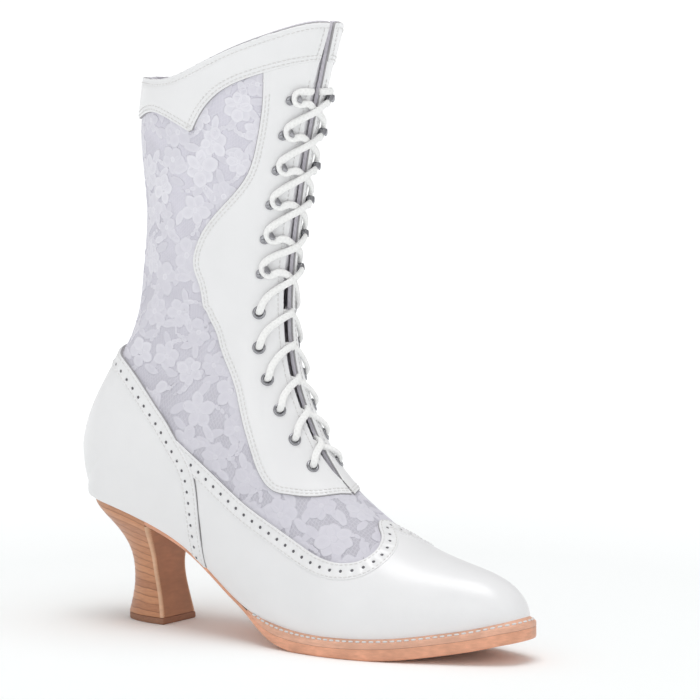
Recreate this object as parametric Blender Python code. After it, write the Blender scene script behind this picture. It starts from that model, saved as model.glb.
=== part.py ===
"""A lace-up boot with a spool heel, for the right foot, as its maker's pieces.

The boot stands on heel and forefoot at z = 0, with the toe to +X and the outer side of the foot to -Y.
Tables and sizes are in millimetres. In them x runs from the back of the heel cup to the toe. The model is in
metres, with its origin in the middle of the heel's floor face.
"""

import math

import bmesh
import bpy
import numpy as np

MM = 0.001

# Driving sizes
LAST_LENGTH = 269.0  # back of the heel cup to the tip of the upper
BALL_WIDTH = 75.2  # across the upper at the ball
SOLE_EDGE = 9.4  # floor to the feather edge under the ball
SEAT_HEIGHT = 71.0  # floor to the back of the heel seat
INSTEP_HEIGHT = 78.5  # floor to the front line at the foot of the throat
COLLAR_HEIGHT = 322.0  # floor to the front of the collar
HEEL_CENTRE = 40.0  # middle of the heel's floor face, where the model has its origin

# Thicknesses and clearances
WALL = 1.8  # lace cloth, ground and lining together
LEATHER = 1.0  # panels laid over the wall
GAP = 0.3  # between pieces that touch
TONGUE_THICK = 1.5
INSOLE_THICK = 2.2
WELT_THICK = 2.6
WELT_DROP = 1.0  # from the feather edge down to the top of the welt, which leaves room for the panels
SEAT_GAP = 1.1  # from the feather edge down to the shank and the heel
SOLE_THICK = 6.2  # outsole at the forefoot
SHANK_THICK = 2.8
BREAST_THICK = 2.0
TOP_LIFT = 3.8
WELT_MARGIN = 4.6  # how far the welt stands out from the upper
SHANK_MARGIN = 0.6

# Heights at which the section table was drawn, and the heights wanted
SAMPLE_LENGTH = 269.0
SAMPLE_BALL = 75.2
SAMPLE_HEIGHTS = (0.0, 9.4, 71.0, 78.5, 322.0, 422.0)
WANTED_HEIGHTS = (0.0, SOLE_EDGE, SEAT_HEIGHT, INSTEP_HEIGHT, COLLAR_HEIGHT, COLLAR_HEIGHT + 100.0)

# The last, a flat section a row. Each section runs from a low point, at the feather edge or the back seam, to
# a top point on the front line. low_half is the half width at the feather edge, half the largest half width,
# at the share `widest` of the way up. The shifts move the centre line inwards (+Y). The last two columns are
# exponents: 2 is an ellipse, and more is squarer.
SECTION_COLUMNS = (
    "low_x", "low_z", "low_half", "low_shift", "top_x", "top_z", "top_shift",
    "half", "widest", "round_top", "round_low",
)
SECTIONS = {
    "toe_tip": (269.0, 22.0, 0.0, 6.0, 269.0, 22.0, 6.0, 0.0, 0.30, 2.0, 2.0),
    "toe_end": (267.2, 21.5, 7.4, 6.0, 265.2, 30.2, 6.0, 8.1, 0.30, 2.1, 2.0),
    "toe_box": (261.6, 20.0, 12.8, 5.8, 258.4, 37.0, 6.0, 14.0, 0.30, 2.2, 2.0),
    "cap": (252.0, 17.5, 17.5, 5.2, 249.0, 41.5, 5.8, 19.0, 0.28, 2.2, 2.0),
    "vamp": (234.0, 14.0, 24.2, 4.2, 231.0, 46.0, 5.4, 26.2, 0.26, 2.2, 2.0),
    "tread": (212.0, 10.8, 31.3, 2.2, 208.0, 52.4, 5.0, 33.6, 0.24, 2.1, 2.0),
    "ball": (188.0, 9.4, 34.8, 0.0, 187.0, 62.5, 4.4, 37.6, 0.24, 2.0, 2.0),
    "instep": (160.0, 9.8, 32.3, -2.0, 165.5, 78.5, 3.4, 36.2, 0.28, 2.0, 2.0),
    "waist": (132.0, 15.0, 27.3, -2.6, 149.0, 96.5, 2.4, 33.8, 0.34, 2.0, 2.0),
    "shank": (108.0, 27.5, 24.6, -2.0, 138.2, 117.0, 1.6, 32.6, 0.38, 2.0, 2.0),
    "arch": (83.0, 45.5, 24.6, -1.0, 131.2, 136.0, 1.0, 32.6, 0.38, 2.0, 2.0),
    "breast": (58.0, 57.4, 26.2, -0.4, 128.2, 153.0, 0.5, 32.8, 0.36, 2.0, 2.0),
    "seat": (32.0, 65.8, 27.8, 0.0, 127.6, 167.0, 0.2, 32.8, 0.32, 2.0, 2.2),
    "cup": (13.0, 69.6, 21.0, 0.0, 127.9, 179.5, 0.0, 32.6, 0.30, 2.0, 2.2),
    "cup_back": (7.4, 70.6, 11.0, 0.0, 128.3, 185.5, 0.0, 32.4, 0.30, 2.0, 2.2),
    "heel": (5.0, 71.0, 0.0, 0.0, 128.8, 191.0, 0.0, 32.2, 0.30, 2.0, 2.2),
    "heel_rise": (2.3, 78.6, 0.0, 0.0, 129.4, 197.0, 0.0, 31.9, 0.31, 2.0, 2.2),
    "counter": (1.0, 93.0, 0.0, 0.0, 130.5, 206.0, 0.0, 31.4, 0.34, 2.0, 2.2),
    "tendon": (12.6, 121.0, 0.0, 0.0, 132.8, 222.0, 0.0, 30.4, 0.40, 2.0, 2.1),
    "achilles": (28.2, 146.0, 0.0, 0.0, 135.4, 238.0, 0.0, 29.8, 0.45, 2.0, 2.0),
    "hollow": (35.8, 167.0, 0.0, 0.0, 138.3, 253.0, 0.0, 29.8, 0.48, 2.0, 2.0),
    "ankle": (38.8, 190.0, 0.0, 0.0, 141.6, 268.5, 0.0, 31.0, 0.50, 2.0, 2.0),
    "shin": (41.4, 214.0, 0.0, 0.0, 145.2, 283.0, 0.0, 32.6, 0.50, 2.0, 2.0),
    "calf": (39.8, 240.0, 0.0, 0.0, 149.0, 297.0, 0.0, 34.6, 0.50, 2.0, 2.0),
    "band": (38.8, 266.0, 0.0, 0.0, 152.6, 309.5, 0.0, 36.6, 0.50, 2.0, 2.0),
    "collar": (42.8, 292.0, 0.0, 0.0, 156.0, 322.0, 0.0, 38.4, 0.50, 2.0, 2.0),
    "rim": (45.0, 310.0, 0.0, 0.0, 159.0, 334.0, 0.0, 39.6, 0.50, 2.0, 2.0),
}
HEEL_STATION = list(SECTIONS).index("heel")  # from here on the sections close at the back seam

# Stations count the rows of SECTIONS, with shares between two rows. Around runs from -1, the outer feather
# edge, over 0 on the front line to 1, the inner feather edge; from the heel row on, both end at the back
# seam.
THROAT_END = 7.3
THROAT_GAPS = ((7.3, 0.0), (7.6, 1.6), (8.2, 2.6), (10.0, 3.2), (15.0, 3.8), (22.5, 3.6), (24.0, 2.4),
               (26.0, 1.2))
COLLAR_EDGE = ((0.0, 24.90), (0.11, 24.96), (0.27, 24.85), (0.39, 24.73), (0.48, 24.60), (0.58, 24.52),
               (0.75, 24.80), (1.0, 25.0))
COLLAR_START = 21.0  # above this station the rows bend to follow the collar's edge
STATION_RUNS = ((0.0, 1.5, 4), (1.5, 7.3, 8), (7.3, 8.2, 3), (8.2, 12.2, 7), (12.2, 15.0, 6),
                (15.0, 17.0, 3), (17.0, 25.0, 9))
COLUMN_SHARES = (0.0, 0.04, 0.10, 0.18, 0.28, 0.40, 0.54, 0.70, 0.86, 1.0)
TONGUE_COLUMNS = (0, 4)  # which of the columns the tongue uses

# Pattern lines in side view, (x, z)
VAMP_LINE = ((80.6, 103.0), (89.8, 96.8), (104.0, 86.9), (121.4, 74.5), (137.4, 65.3), (156.6, 55.3),
             (167.6, 50.1), (177.4, 47.2), (183.6, 46.7), (188.6, 47.3), (192.6, 49.2), (194.6, 52.4),
             (193.4, 56.0), (188.6, 60.6), (182.5, 66.4), (177.0, 72.0))
SEAM_LINE = ((95.0, 37.0), (94.6, 50.0), (94.4, 63.0), (93.7, 75.5), (92.0, 84.8), (88.5, 92.6),
             (80.6, 103.0))
COUNTER_LINE = ((80.6, 103.0), (73.4, 112.3), (66.4, 119.9), (59.6, 127.6), (50.8, 137.6), (44.6, 143.0),
                (36.0, 147.0), (18.0, 150.0))
STAY_LINE = ((176.0, 77.0), (146.0, 78.4), (138.0, 80.2), (131.0, 86.5), (123.4, 100.7), (115.6, 121.0),
             (107.8, 141.0), (99.0, 161.6), (91.2, 184.0), (88.6, 197.0), (91.4, 206.8), (106.6, 226.6),
             (119.6, 243.0), (125.6, 260.5), (130.0, 280.0), (132.6, 300.0))
CUFF_LINE = ((30.0, 270.0), (51.0, 271.0), (63.5, 274.0), (76.5, 271.0), (92.2, 263.6), (99.5, 275.0),
             (112.5, 286.4), (132.0, 294.8), (150.0, 300.4), (170.0, 304.0))
CUFF_POINT = 4  # the row of CUFF_LINE where its lower edge comes to a point

# Sole: the welt stops at its last station, and the outsole thins from the first to the second station
WELT_END = 8.35
WELT_FADE = (7.4, 8.75)
SOLE_FADE = (6.9, 8.5)
SOLE_END = 11.17

# Spool heel, a level a row: share of the way from the top lift to the seat, x of the breast, depth back from
# it, half width, and the exponent of the round back
HEEL_COLUMNS = ("share", "front", "depth", "half", "round")
HEEL_LEVELS = (
    (0.00, 53.3, 29.3, 14.1, 2.2),
    (0.20, 51.0, 23.8, 12.7, 2.2),
    (0.42, 48.3, 20.6, 12.5, 2.2),
    (0.60, 47.8, 23.2, 14.4, 2.3),
    (0.78, 49.3, 34.2, 20.0, 2.5),
    (0.91, 51.6, 44.4, 24.9, 2.8),
    (1.00, 53.2, 47.2, 26.6, 2.9),
)
BREAST_TOP = 0.92  # share at which the breast cover ends, under the outsole
LIFT_FRONT = 55.6

# Lacing
EYELETS = 6
HOOKS = 6
FIRST_ROW = 14.8  # along the front line, from the end of the throat to the first eyelets
EYELET_PITCH = 17.7
HOOK_STEP = 20.8  # from the last eyelets to the first hooks
HOOK_PITCH = 17.4
ROW_INSETS = ((0, 9.5), (4, 16.5), (6, 14.0), (11, 11.5))  # (row, distance from the throat's edge)
LACE_INSET = 3.6
LACE_RADIUS = 1.6
EYELET_PROFILE = ((2.0, 0.0), (3.5, 0.0), (3.1, 0.75), (2.3, 0.75))  # (radius, height)
# A hook's bent strip, (towards the throat, up, half width)
HOOK_PATH = ((-3.2, 0.5, 2.6), (1.2, 0.5, 2.6), (2.8, 1.1, 2.2), (3.3, 2.2, 1.9), (2.7, 3.4, 1.9),
             (1.2, 4.0, 2.0), (-1.4, 4.2, 2.1), (-2.6, 4.7, 1.5))
HOOK_THICK = 0.7

# Finishes: sRGB colour, roughness, metallic
FINISHES = {
    "lace_cloth": ("#d5d3de", 0.85, 0.0),
    "white_leather": ("#ececea", 0.45, 0.0),
    "lining_cloth": ("#e2e0e6", 0.80, 0.0),
    "insole_leather": ("#cdb79a", 0.60, 0.0),
    "sole_leather": ("#cd9678", 0.50, 0.0),
    "stacked_leather": ("#c08a62", 0.45, 0.0),
    "breast_leather": ("#a06e55", 0.50, 0.0),
    "top_lift_rubber": ("#7a5744", 0.60, 0.0),
    "nickel": ("#b9b9bb", 0.25, 1.0),
    "cotton_lace": ("#f2f2f2", 0.80, 0.0),
}


def natural_spline(knots, values, at):
    """Natural cubic spline through (knots, values), read at `at`."""
    knots = np.asarray(knots, float)
    values = np.asarray(values, float)
    gaps = np.diff(knots)
    slopes = np.diff(values) / gaps
    matrix = np.eye(len(knots))
    right = np.zeros(len(knots))
    for i in range(1, len(knots) - 1):
        matrix[i, i - 1:i + 2] = gaps[i - 1], 2 * (gaps[i - 1] + gaps[i]), gaps[i]
        right[i] = 6 * (slopes[i] - slopes[i - 1])
    bends = np.linalg.solve(matrix, right)
    k = np.clip(np.searchsorted(knots, at, side="right") - 1, 0, len(gaps) - 1)
    a = (knots[k + 1] - at) / gaps[k]
    b = 1 - a
    bow = (a ** 3 - a) * bends[k] + (b ** 3 - b) * bends[k + 1]
    return a * values[k] + b * values[k + 1] + bow * gaps[k] ** 2 / 6


def graded_sections():
    """The section table as a column dictionary, graded from the sample sizes to the driving sizes."""
    table = dict(zip(SECTION_COLUMNS, np.array(list(SECTIONS.values())).T))
    for column in ("low_x", "top_x"):
        table[column] = table[column] * LAST_LENGTH / SAMPLE_LENGTH
    for column in ("low_half", "half", "low_shift", "top_shift"):
        table[column] = table[column] * BALL_WIDTH / SAMPLE_BALL
    for column in ("low_z", "top_z"):
        table[column] = np.interp(table[column], SAMPLE_HEIGHTS, WANTED_HEIGHTS)
    return table


LAST = graded_sections()
LOW_STEPS = np.hypot(np.diff(LAST["low_x"]), np.diff(LAST["low_z"]))
TOP_STEPS = np.hypot(np.diff(LAST["top_x"]), np.diff(LAST["top_z"]))
HALF_STEPS = np.abs(np.diff(LAST["low_half"]))
KNOTS = np.concatenate([[0.0], np.cumsum((LOW_STEPS + TOP_STEPS) / 2 + 0.3 * HALF_STEPS)])


def run(station):
    """Distance along the last of a station: a row number of SECTIONS, with a share."""
    return np.interp(station, np.arange(len(KNOTS)), KNOTS)


def sections_at(station):
    """Every column of the section table at the stations."""
    along = run(station)
    found = {name: natural_spline(KNOTS, LAST[name], along) for name in SECTION_COLUMNS}
    open_below = np.asarray(station) < HEEL_STATION
    found["low_half"] = np.where(open_below, np.maximum(found["low_half"], 0.0), 0.0)
    found["half"] = np.maximum(found["half"], 0.0)
    return found


def last_point(station, around):
    """Points of the last: a superellipse over the widest line, and a leaning or round wall below it."""
    station, around = np.broadcast_arrays(np.asarray(station, float), np.asarray(around, float))
    c = sections_at(station)
    turn = np.pi * np.abs(around)
    sine = np.abs(np.sin(turn))
    cosine = np.abs(np.cos(turn))
    over = turn <= np.pi / 2
    wall = np.clip(c["low_half"] / np.maximum(c["half"], 1e-9), 0.0, 1.0)
    low_power = 1 / c["round_low"] + (1 - 1 / c["round_low"]) * wall
    low_rise = np.clip(1 - cosine ** c["round_low"], 0.0, 1.0) ** low_power
    out = np.where(over, c["half"] * sine ** (2 / c["round_top"]),
                   c["low_half"] + (c["half"] - c["low_half"]) * low_rise)
    up = np.where(over, c["widest"] + (1 - c["widest"]) * cosine ** (2 / c["round_top"]),
                  c["widest"] * (1 - cosine))
    x = c["low_x"] + (c["top_x"] - c["low_x"]) * up
    z = c["low_z"] + (c["top_z"] - c["low_z"]) * up
    shift = c["low_shift"] + (c["top_shift"] - c["low_shift"]) * up
    return np.stack([x, shift + np.sign(around) * out, z], -1)


def unit(vectors):
    """The vectors at length one."""
    return vectors / np.maximum(np.linalg.norm(vectors, axis=-1, keepdims=True), 1e-12)


def last_normal(station, around):
    """Outward directions of the last, by small differences; in the middle plane at the back seam."""
    station, around = np.broadcast_arrays(np.asarray(station, float), np.asarray(around, float))
    station = np.maximum(station, 0.08)
    along = last_point(station + 0.02, around) - last_point(station - 0.02, around)
    side_ways = (last_point(station, np.minimum(around + 0.004, 1.0))
                 - last_point(station, np.maximum(around - 0.004, -1.0)))
    normal = np.cross(side_ways, along)
    seam = (np.abs(around) >= 1.0) & (station >= HEEL_STATION)
    normal[..., 1] = np.where(seam, 0.0, normal[..., 1])
    return unit(normal)


def skin(station, around, height):
    """Points at a height over the last's surface, inside it where the height is negative."""
    return last_point(station, around) + last_normal(station, around) * height


def throat_around(station):
    """Half the throat's gap at the stations, as a value of around."""
    half = sections_at(station)["half"]
    gap = np.interp(station, *zip(*THROAT_GAPS))
    return np.arcsin(np.clip(gap / np.maximum(half, 1.0), 0.0, 0.9)) / np.pi


def wall_grid(least_gap=0.0):
    """Stations and outer-side values of around of the wall's rows and columns, bent to the collar's edge."""
    runs = [np.linspace(start, end, count, endpoint=False) for start, end, count in STATION_RUNS]
    rows = np.append(np.concatenate(runs), STATION_RUNS[-1][1])[:, None]
    shares = np.array(COLUMN_SHARES)[None, :]
    gap = np.maximum(throat_around(rows), least_gap)
    around = gap + (1 - gap) * shares
    edge = natural_spline(*zip(*COLLAR_EDGE), around)
    lift = np.clip((rows - COLLAR_START) / (STATION_RUNS[-1][1] - COLLAR_START), 0.0, 1.0)
    station = np.where(rows > COLLAR_START, COLLAR_START + (edge - COLLAR_START) * lift, rows)
    return np.broadcast_to(station, around.shape), around


def fade(station, ends):
    """1 before the first station of `ends`, 0 past the second, and smooth between."""
    share = np.clip((np.asarray(station, float) - ends[0]) / (ends[1] - ends[0]), 0.0, 1.0)
    return 1 - share * share * (3 - 2 * share)


def feather_drop(station):
    """How far the outsole's top lies under the feather edge."""
    return SEAT_GAP + (WELT_DROP + WELT_THICK + GAP - SEAT_GAP) * fade(station, WELT_FADE)


def feather_outline(station, side, margin):
    """Points (x, y) of the feather edge at one side, -1 outer or 1 inner, moved out by a margin."""
    station = np.asarray(station, float)
    near = sections_at(np.maximum(station - 0.03, 0.0))
    far = sections_at(np.minimum(station + 0.03, HEEL_STATION - 1e-6))
    step_x = far["low_x"] - near["low_x"]
    step_y = far["low_shift"] + side * far["low_half"] - near["low_shift"] - side * near["low_half"]
    normal = unit(np.stack([side * step_y, -side * step_x], -1))
    normal[station <= 0.0] = (1.0, 0.0)
    normal[station >= HEEL_STATION] = (-1.0, 0.0)
    here = sections_at(station)
    edge = np.stack([here["low_x"], here["low_shift"] + side * here["low_half"]], -1)
    return edge + normal * np.reshape(margin, (-1, 1))


def material(finish):
    """The finish's material, made on first use."""
    found = bpy.data.materials.get(finish)
    if found:
        return found
    colour, roughness, metallic = FINISHES[finish]
    made = bpy.data.materials.new(finish)
    made.use_nodes = True
    shader = made.node_tree.nodes["Principled BSDF"]
    channels = [int(colour[i:i + 2], 16) / 255 for i in (1, 3, 5)]
    linear = [c / 12.92 if c <= 0.04045 else ((c + 0.055) / 1.055) ** 2.4 for c in channels]
    shader.inputs["Base Color"].default_value = (*linear, 1.0)
    shader.inputs["Roughness"].default_value = roughness
    shader.inputs["Metallic"].default_value = metallic
    return made


def add_object(name, points, faces, finish):
    """A mesh object from points in the tables' millimetres, moved so that the heel's middle is the origin."""
    placed = (np.asarray(points, float) - (HEEL_CENTRE, 0.0, 0.0)) * MM
    mesh = bpy.data.meshes.new(name)
    mesh.from_pydata(placed.tolist(), [], [list(face) for face in faces])
    mesh.update()
    mesh.materials.append(material(finish))
    made = bpy.data.objects.new(name, mesh)
    bpy.context.scene.collection.objects.link(made)
    return made


def joined_grid_faces(patches):
    """Merged index of every point of the patches, and their triangles, all cut along the same diagonal."""
    points = np.concatenate([patch.reshape(-1, 3) for patch in patches])
    _, index = np.unique(np.round(points, 4), axis=0, return_inverse=True)
    index = index.reshape(-1)
    faces = []
    start = 0
    for patch in patches:
        rows, columns = patch.shape[:2]
        cells = index[start:start + rows * columns].reshape(rows, columns)
        start += rows * columns
        for i in range(rows - 1):
            for j in range(columns - 1):
                a, b, c, d = cells[i, j], cells[i, j + 1], cells[i + 1, j + 1], cells[i + 1, j]
                faces += [face for face in ((a, b, c), (a, c, d)) if len(set(face)) == 3]
    return index, faces


def merged(points, index):
    """Mean of the points that share an index."""
    count = np.bincount(index)
    return np.stack([np.bincount(index, points[:, axis]) / count for axis in range(3)], -1)


def add_shell(name, outer_patches, inner_patches, finish):
    """A closed solid between two sheets of the same grids, with a rim along every open edge."""
    index, faces = joined_grid_faces(outer_patches)
    outer = merged(np.concatenate([patch.reshape(-1, 3) for patch in outer_patches]), index)
    inner = merged(np.concatenate([patch.reshape(-1, 3) for patch in inner_patches]), index)
    size = len(outer)
    edges = {(face[k - 1], face[k]) for face in faces for k in range(len(face))}
    rim = [(b, a, a + size, b + size) for a, b in edges if (b, a) not in edges]
    back = [[p + size for p in reversed(face)] for face in faces]
    return add_object(name, np.concatenate([outer, inner]), faces + back + rim, finish)


def skin_patches(station, around, height, sides):
    """Sheets at a height over the last, for the sides given as -1 outer or 1 inner, all facing out."""
    sheets = []
    for side in sides:
        sheet = skin(station, side * around, height)
        sheets.append(sheet if side > 0 else sheet[:, ::-1])
    return sheets


def add_skin(name, height_out, height_in, sides, finish, least_gap=0.0):
    """A shell over or under the last on the wall's own grid."""
    station, around = wall_grid(least_gap)
    return add_shell(name, skin_patches(station, around, height_out, sides),
                     skin_patches(station, around, height_in, sides), finish)


def smooth_line(points, corner=None, steps=2):
    """A line through the points with `steps` pieces a span, smooth but for a corner at one of its rows."""
    points = np.array(points)
    parts = [points] if corner is None else [points[:corner + 1], points[corner:]]
    drawn = []
    for part in parts:
        along = np.concatenate([[0.0], np.cumsum(np.hypot(*np.diff(part, axis=0).T))])
        at = np.interp(np.arange((len(part) - 1) * steps + 1) / steps, np.arange(len(part)), along)
        line = np.stack([natural_spline(along, part[:, axis], at) for axis in (0, 1)], -1)
        drawn.append(line if not drawn else line[1:])
    return np.concatenate(drawn)


def cut_to_pattern(panel, outline):
    """Keeps the part of a panel inside a side-view outline, by a hidden prism across the boot."""
    outline = np.asarray(outline)
    count = len(outline)
    ends = [np.insert(outline, 1, y, axis=1) for y in (-90.0, 90.0)]
    sides = [(k, (k + 1) % count, (k + 1) % count + count, k + count) for k in range(count)]
    caps = [list(range(count))[::-1], [k + count for k in range(count)]]
    cutter = add_object(panel.name + "_pattern", np.concatenate(ends), sides + caps, "white_leather")
    shape = bmesh.new()
    shape.from_mesh(cutter.data)
    bmesh.ops.recalc_face_normals(shape, faces=shape.faces)
    shape.to_mesh(cutter.data)
    shape.free()
    cutter.hide_render = True
    cutter.display_type = "WIRE"
    cut = panel.modifiers.new("pattern", "BOOLEAN")
    cut.operation = "INTERSECT"
    cut.solver = "EXACT"
    cut.object = cutter
    return panel


def add_upper():
    """The hollow wall, with a lasting edge that reaches down inside the welt."""
    station, around = wall_grid()
    drop = feather_drop(station[:, -1]) - np.where(station[:, -1] < WELT_FADE[1], GAP, 0.0)
    drop = np.where(fade(station[:, -1], WELT_FADE) > 0, drop, 0.0)
    sheets = []
    for height in (0.0, -WALL):
        pair = []
        for side in (-1, 1):
            sheet = skin(station, side * around, height)
            edge = sheet[:, -1:] - np.stack([0 * drop, 0 * drop, drop], -1)[:, None]
            sheet = np.concatenate([sheet, edge], axis=1)
            pair.append(sheet if side > 0 else sheet[:, ::-1])
        sheets.append(pair)
    add_shell("upper", *sheets, "lace_cloth")


def add_panels():
    """Leather panels laid over the wall, each cut from a sheet of the last to its pattern."""
    low = GAP
    high = GAP + LEATHER
    vamp_line = smooth_line(VAMP_LINE)
    seam_line = smooth_line(SEAM_LINE)
    counter_line = smooth_line(COUNTER_LINE)
    stay_line = smooth_line(STAY_LINE)
    cuff_line = smooth_line(CUFF_LINE, CUFF_POINT)
    seam_gap = np.array((GAP, 0.0))
    both = (-1, 1)

    vamp = add_skin("vamp", high, low, both, "white_leather")
    front = ((320.0, 72.0), (320.0, -30.0), (95.0, -30.0))
    cut_to_pattern(vamp, np.concatenate([vamp_line, front, seam_line[:-1]]))

    counter = add_skin("counter", high, low, both, "white_leather")
    back = ((-40.0, 152.0), (-40.0, -30.0), (95.0, -30.0))
    cut_to_pattern(counter, np.concatenate([counter_line, back, seam_line[:-1]]) - seam_gap)

    for name, side in (("eyestay_lateral", -1), ("eyestay_medial", 1)):
        stay = add_skin(name, high, low, (side,), "white_leather", least_gap=0.002)
        top = cuff_line[cuff_line[:, 0] > stay_line[-1, 0]] - (0.0, 2 * GAP)
        outline = np.concatenate([stay_line[stay_line[:, 1] < 293.0], top, ((240.0, 304.0), (240.0, 77.0))])
        cut_to_pattern(stay, outline)

    cuff = add_skin("cuff", high, low, both, "white_leather")
    above = ((200.0, 304.0), (200.0, 360.0), (-20.0, 360.0), (-20.0, 270.0))
    cut_to_pattern(cuff, np.concatenate([cuff_line, above]))


def add_tongue():
    """A strip behind the throat, on the wall's own rows and first columns."""
    station, around = wall_grid()
    rows = (station[:, 0] > 6.4) & (np.arange(len(station)) < len(station) - 1)
    station = station[rows][:, TONGUE_COLUMNS]
    around = around[rows][:, TONGUE_COLUMNS]
    station = np.concatenate([station[:, ::-1], station[:, :1], station], axis=1)
    around = np.concatenate([-around[:, ::-1], 0 * around[:, :1], around], axis=1)
    sheets = [[skin(station, around, -WALL - GAP - depth)] for depth in (0.0, TONGUE_THICK)]
    add_shell("tongue", *sheets, "lining_cloth")


def plate(stations, margin_low, margin_high, z_top, z_bottom):
    """Top and bottom grids of a plate between two outlines of the feather edge, one on each side."""
    low = feather_outline(stations, -1, margin_low)
    high = feather_outline(stations, 1, margin_high)
    grids = []
    for z in (z_top, z_bottom):
        grids.append([np.stack([np.column_stack([low, z]), np.column_stack([high, z])], axis=1)])
    return grids


def sole_stations(end):
    """Stations of the wall's rows up to an end."""
    station = wall_grid()[0][:, 0]
    return np.append(station[station < end - 0.05], end)


def add_insole():
    """A flat sole inside the wall, on the outsole and the heel seat."""
    stations = sole_stations(HEEL_STATION)
    inset = np.full(len(stations), -WALL - 1.5 * GAP)
    z = sections_at(stations)["low_z"] - feather_drop(stations) + GAP
    add_shell("insole", *plate(stations, inset, inset, z + INSOLE_THICK, z), "insole_leather")


def sole_margin(stations):
    """How far the sole stands out from the upper."""
    return SHANK_MARGIN + (WELT_MARGIN - SHANK_MARGIN) * fade(stations, WELT_FADE)


def add_welt():
    """A strip on the outsole round the forefoot, outside the upper."""
    stations = sole_stations(WELT_END)
    inner = np.full(len(stations), 1.2 * GAP)
    outer = np.maximum(sole_margin(stations), 4 * GAP)
    bottom = sections_at(stations)["low_z"] - feather_drop(stations) + GAP
    top = np.maximum(sections_at(stations)["low_z"] - WELT_DROP, bottom + GAP)
    strips = []
    for z in (top, bottom):
        sheets = []
        for side in (-1, 1):
            near = np.column_stack([feather_outline(stations, side, inner), z])
            far = np.column_stack([feather_outline(stations, side, outer), z])
            sheet = np.stack([near, far], axis=1)
            sheets.append(sheet if side > 0 else sheet[:, ::-1])
        strips.append(sheets)
    add_shell("welt", *strips, "sole_leather")


def add_outsole():
    """The outsole from toe to heel breast, flat on the floor under the ball."""
    stations = sole_stations(SOLE_END)
    margin = sole_margin(stations)
    top = sections_at(stations)["low_z"] - feather_drop(stations)
    thick = SHANK_THICK + (SOLE_THICK - SHANK_THICK) * fade(stations, SOLE_FADE)
    add_shell("outsole", *plate(stations, margin, margin, top, np.maximum(top - thick, 0.0)), "sole_leather")


def seat_height(x):
    """Height of the feather edge over the heel at an x."""
    stations = np.linspace(HEEL_STATION, HEEL_STATION - 4, 60)
    line = sections_at(stations)
    return np.interp(x, line["low_x"], line["low_z"])


def heel_level(share):
    """Front, depth, half width and roundness of the heel at a share of its height."""
    table = np.array(HEEL_LEVELS).T
    return [natural_spline(table[0], table[k], share) for k in range(1, len(HEEL_COLUMNS))]


def heel_ring(share, points=17):
    """One level of the heel: a straight breast and a round back, tilted more the nearer it is to the seat."""
    front, depth, half, power = heel_level(share)
    angle = np.linspace(-np.pi / 2, np.pi / 2, points)
    x = front - depth * np.abs(np.cos(angle)) ** (2 / power)
    y = half * np.sign(np.sin(angle)) * np.abs(np.sin(angle)) ** (2 / power)
    base = TOP_LIFT + GAP
    return np.column_stack([x, y, base + share * (seat_height(x) - SEAT_GAP - base)])


def add_loft(name, rings, finish):
    """A closed solid through rings of the same number of points, with flat ends."""
    count = len(rings[0])
    faces = [list(range(count)), [count * len(rings) - 1 - k for k in range(count)]]
    for level in range(len(rings) - 1):
        low = level * count
        for k in range(count):
            nxt = (k + 1) % count
            faces.append([low + nxt, low + k, low + count + k, low + count + nxt])
    return add_object(name, np.concatenate(rings), faces, finish)


def add_heel():
    """The stacked heel, its breast cover and its top lift."""
    shares = np.linspace(0.0, 1.0, 11)
    add_loft("heel", [heel_ring(share) for share in shares], "stacked_leather")

    shares = np.linspace(0.0, BREAST_TOP, 9)
    sheets = []
    for depth in (GAP + BREAST_THICK, GAP):
        edges = np.array([heel_ring(share)[[0, -1]] for share in shares])
        edges[..., 0] += depth
        sheets.append([edges])
    add_shell("heel_breast", *sheets, "breast_leather")

    front, depth, half, _ = heel_level(0.0)
    rings = []
    for z, grow in ((0.0, 0.0), (TOP_LIFT, -0.3)):
        ring = heel_ring(0.0, 21)
        back = (ring[:, 0] - front) / depth
        ring[:, 0] = LIFT_FRONT + grow + back * (depth + LIFT_FRONT - front + 2 * grow)
        ring[:, 1] *= 1 + grow / half
        ring[:, 2] = z
        rings.append(ring)
    add_loft("top_lift", rings, "top_lift_rubber")


def lacing_stations():
    """Stations of the lacing rows, by distance along the front line from the end of the throat."""
    fine = np.linspace(THROAT_END, STATION_RUNS[-1][1], 400)
    front = last_point(fine, 0.0)
    along = np.concatenate([[0.0], np.cumsum(np.linalg.norm(np.diff(front, axis=0), axis=1))])
    pitches = [FIRST_ROW] + [EYELET_PITCH] * (EYELETS - 1) + [HOOK_STEP] + [HOOK_PITCH] * (HOOKS - 1)
    return np.interp(np.cumsum(pitches), along, fine)


def around_from_edge(station, distance):
    """Value of around at a girth distance from the throat's edge."""
    fine = np.linspace(throat_around(station), 0.5, 120)
    line = last_point(station, fine)
    girth = np.concatenate([[0.0], np.cumsum(np.linalg.norm(np.diff(line, axis=0), axis=1))])
    return np.interp(distance, girth, fine)


def seat_frame(station, around, height):
    """Place over the last, with directions towards the throat, up the throat and outwards."""
    place = skin(station, around, height)
    out = last_normal(station, around)
    inward = last_point(station, around * 0.98) - last_point(station, around)
    inward = unit(inward - out * (inward @ out))
    return place, inward, np.cross(out, inward), out


def add_eyelet(name, station, around):
    """A turned ring on the eyestay."""
    place, inward, up, out = seat_frame(station, around, 2 * GAP + LEATHER)
    rings = []
    for angle in np.linspace(0.0, 2 * np.pi, 8, endpoint=False):
        spoke = math.cos(angle) * inward + math.sin(angle) * up
        rings.append([place + spoke * radius + out * height for radius, height in EYELET_PROFILE])
    sides = len(EYELET_PROFILE)
    count = sides * len(rings)
    faces = []
    for k in range(count):
        ring = k // sides * sides
        a, b = k, ring + (k + 1 - ring) % sides
        faces.append([a, (a + sides) % count, (b + sides) % count, b])
    add_object(name, np.concatenate(rings), faces, "nickel")


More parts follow.
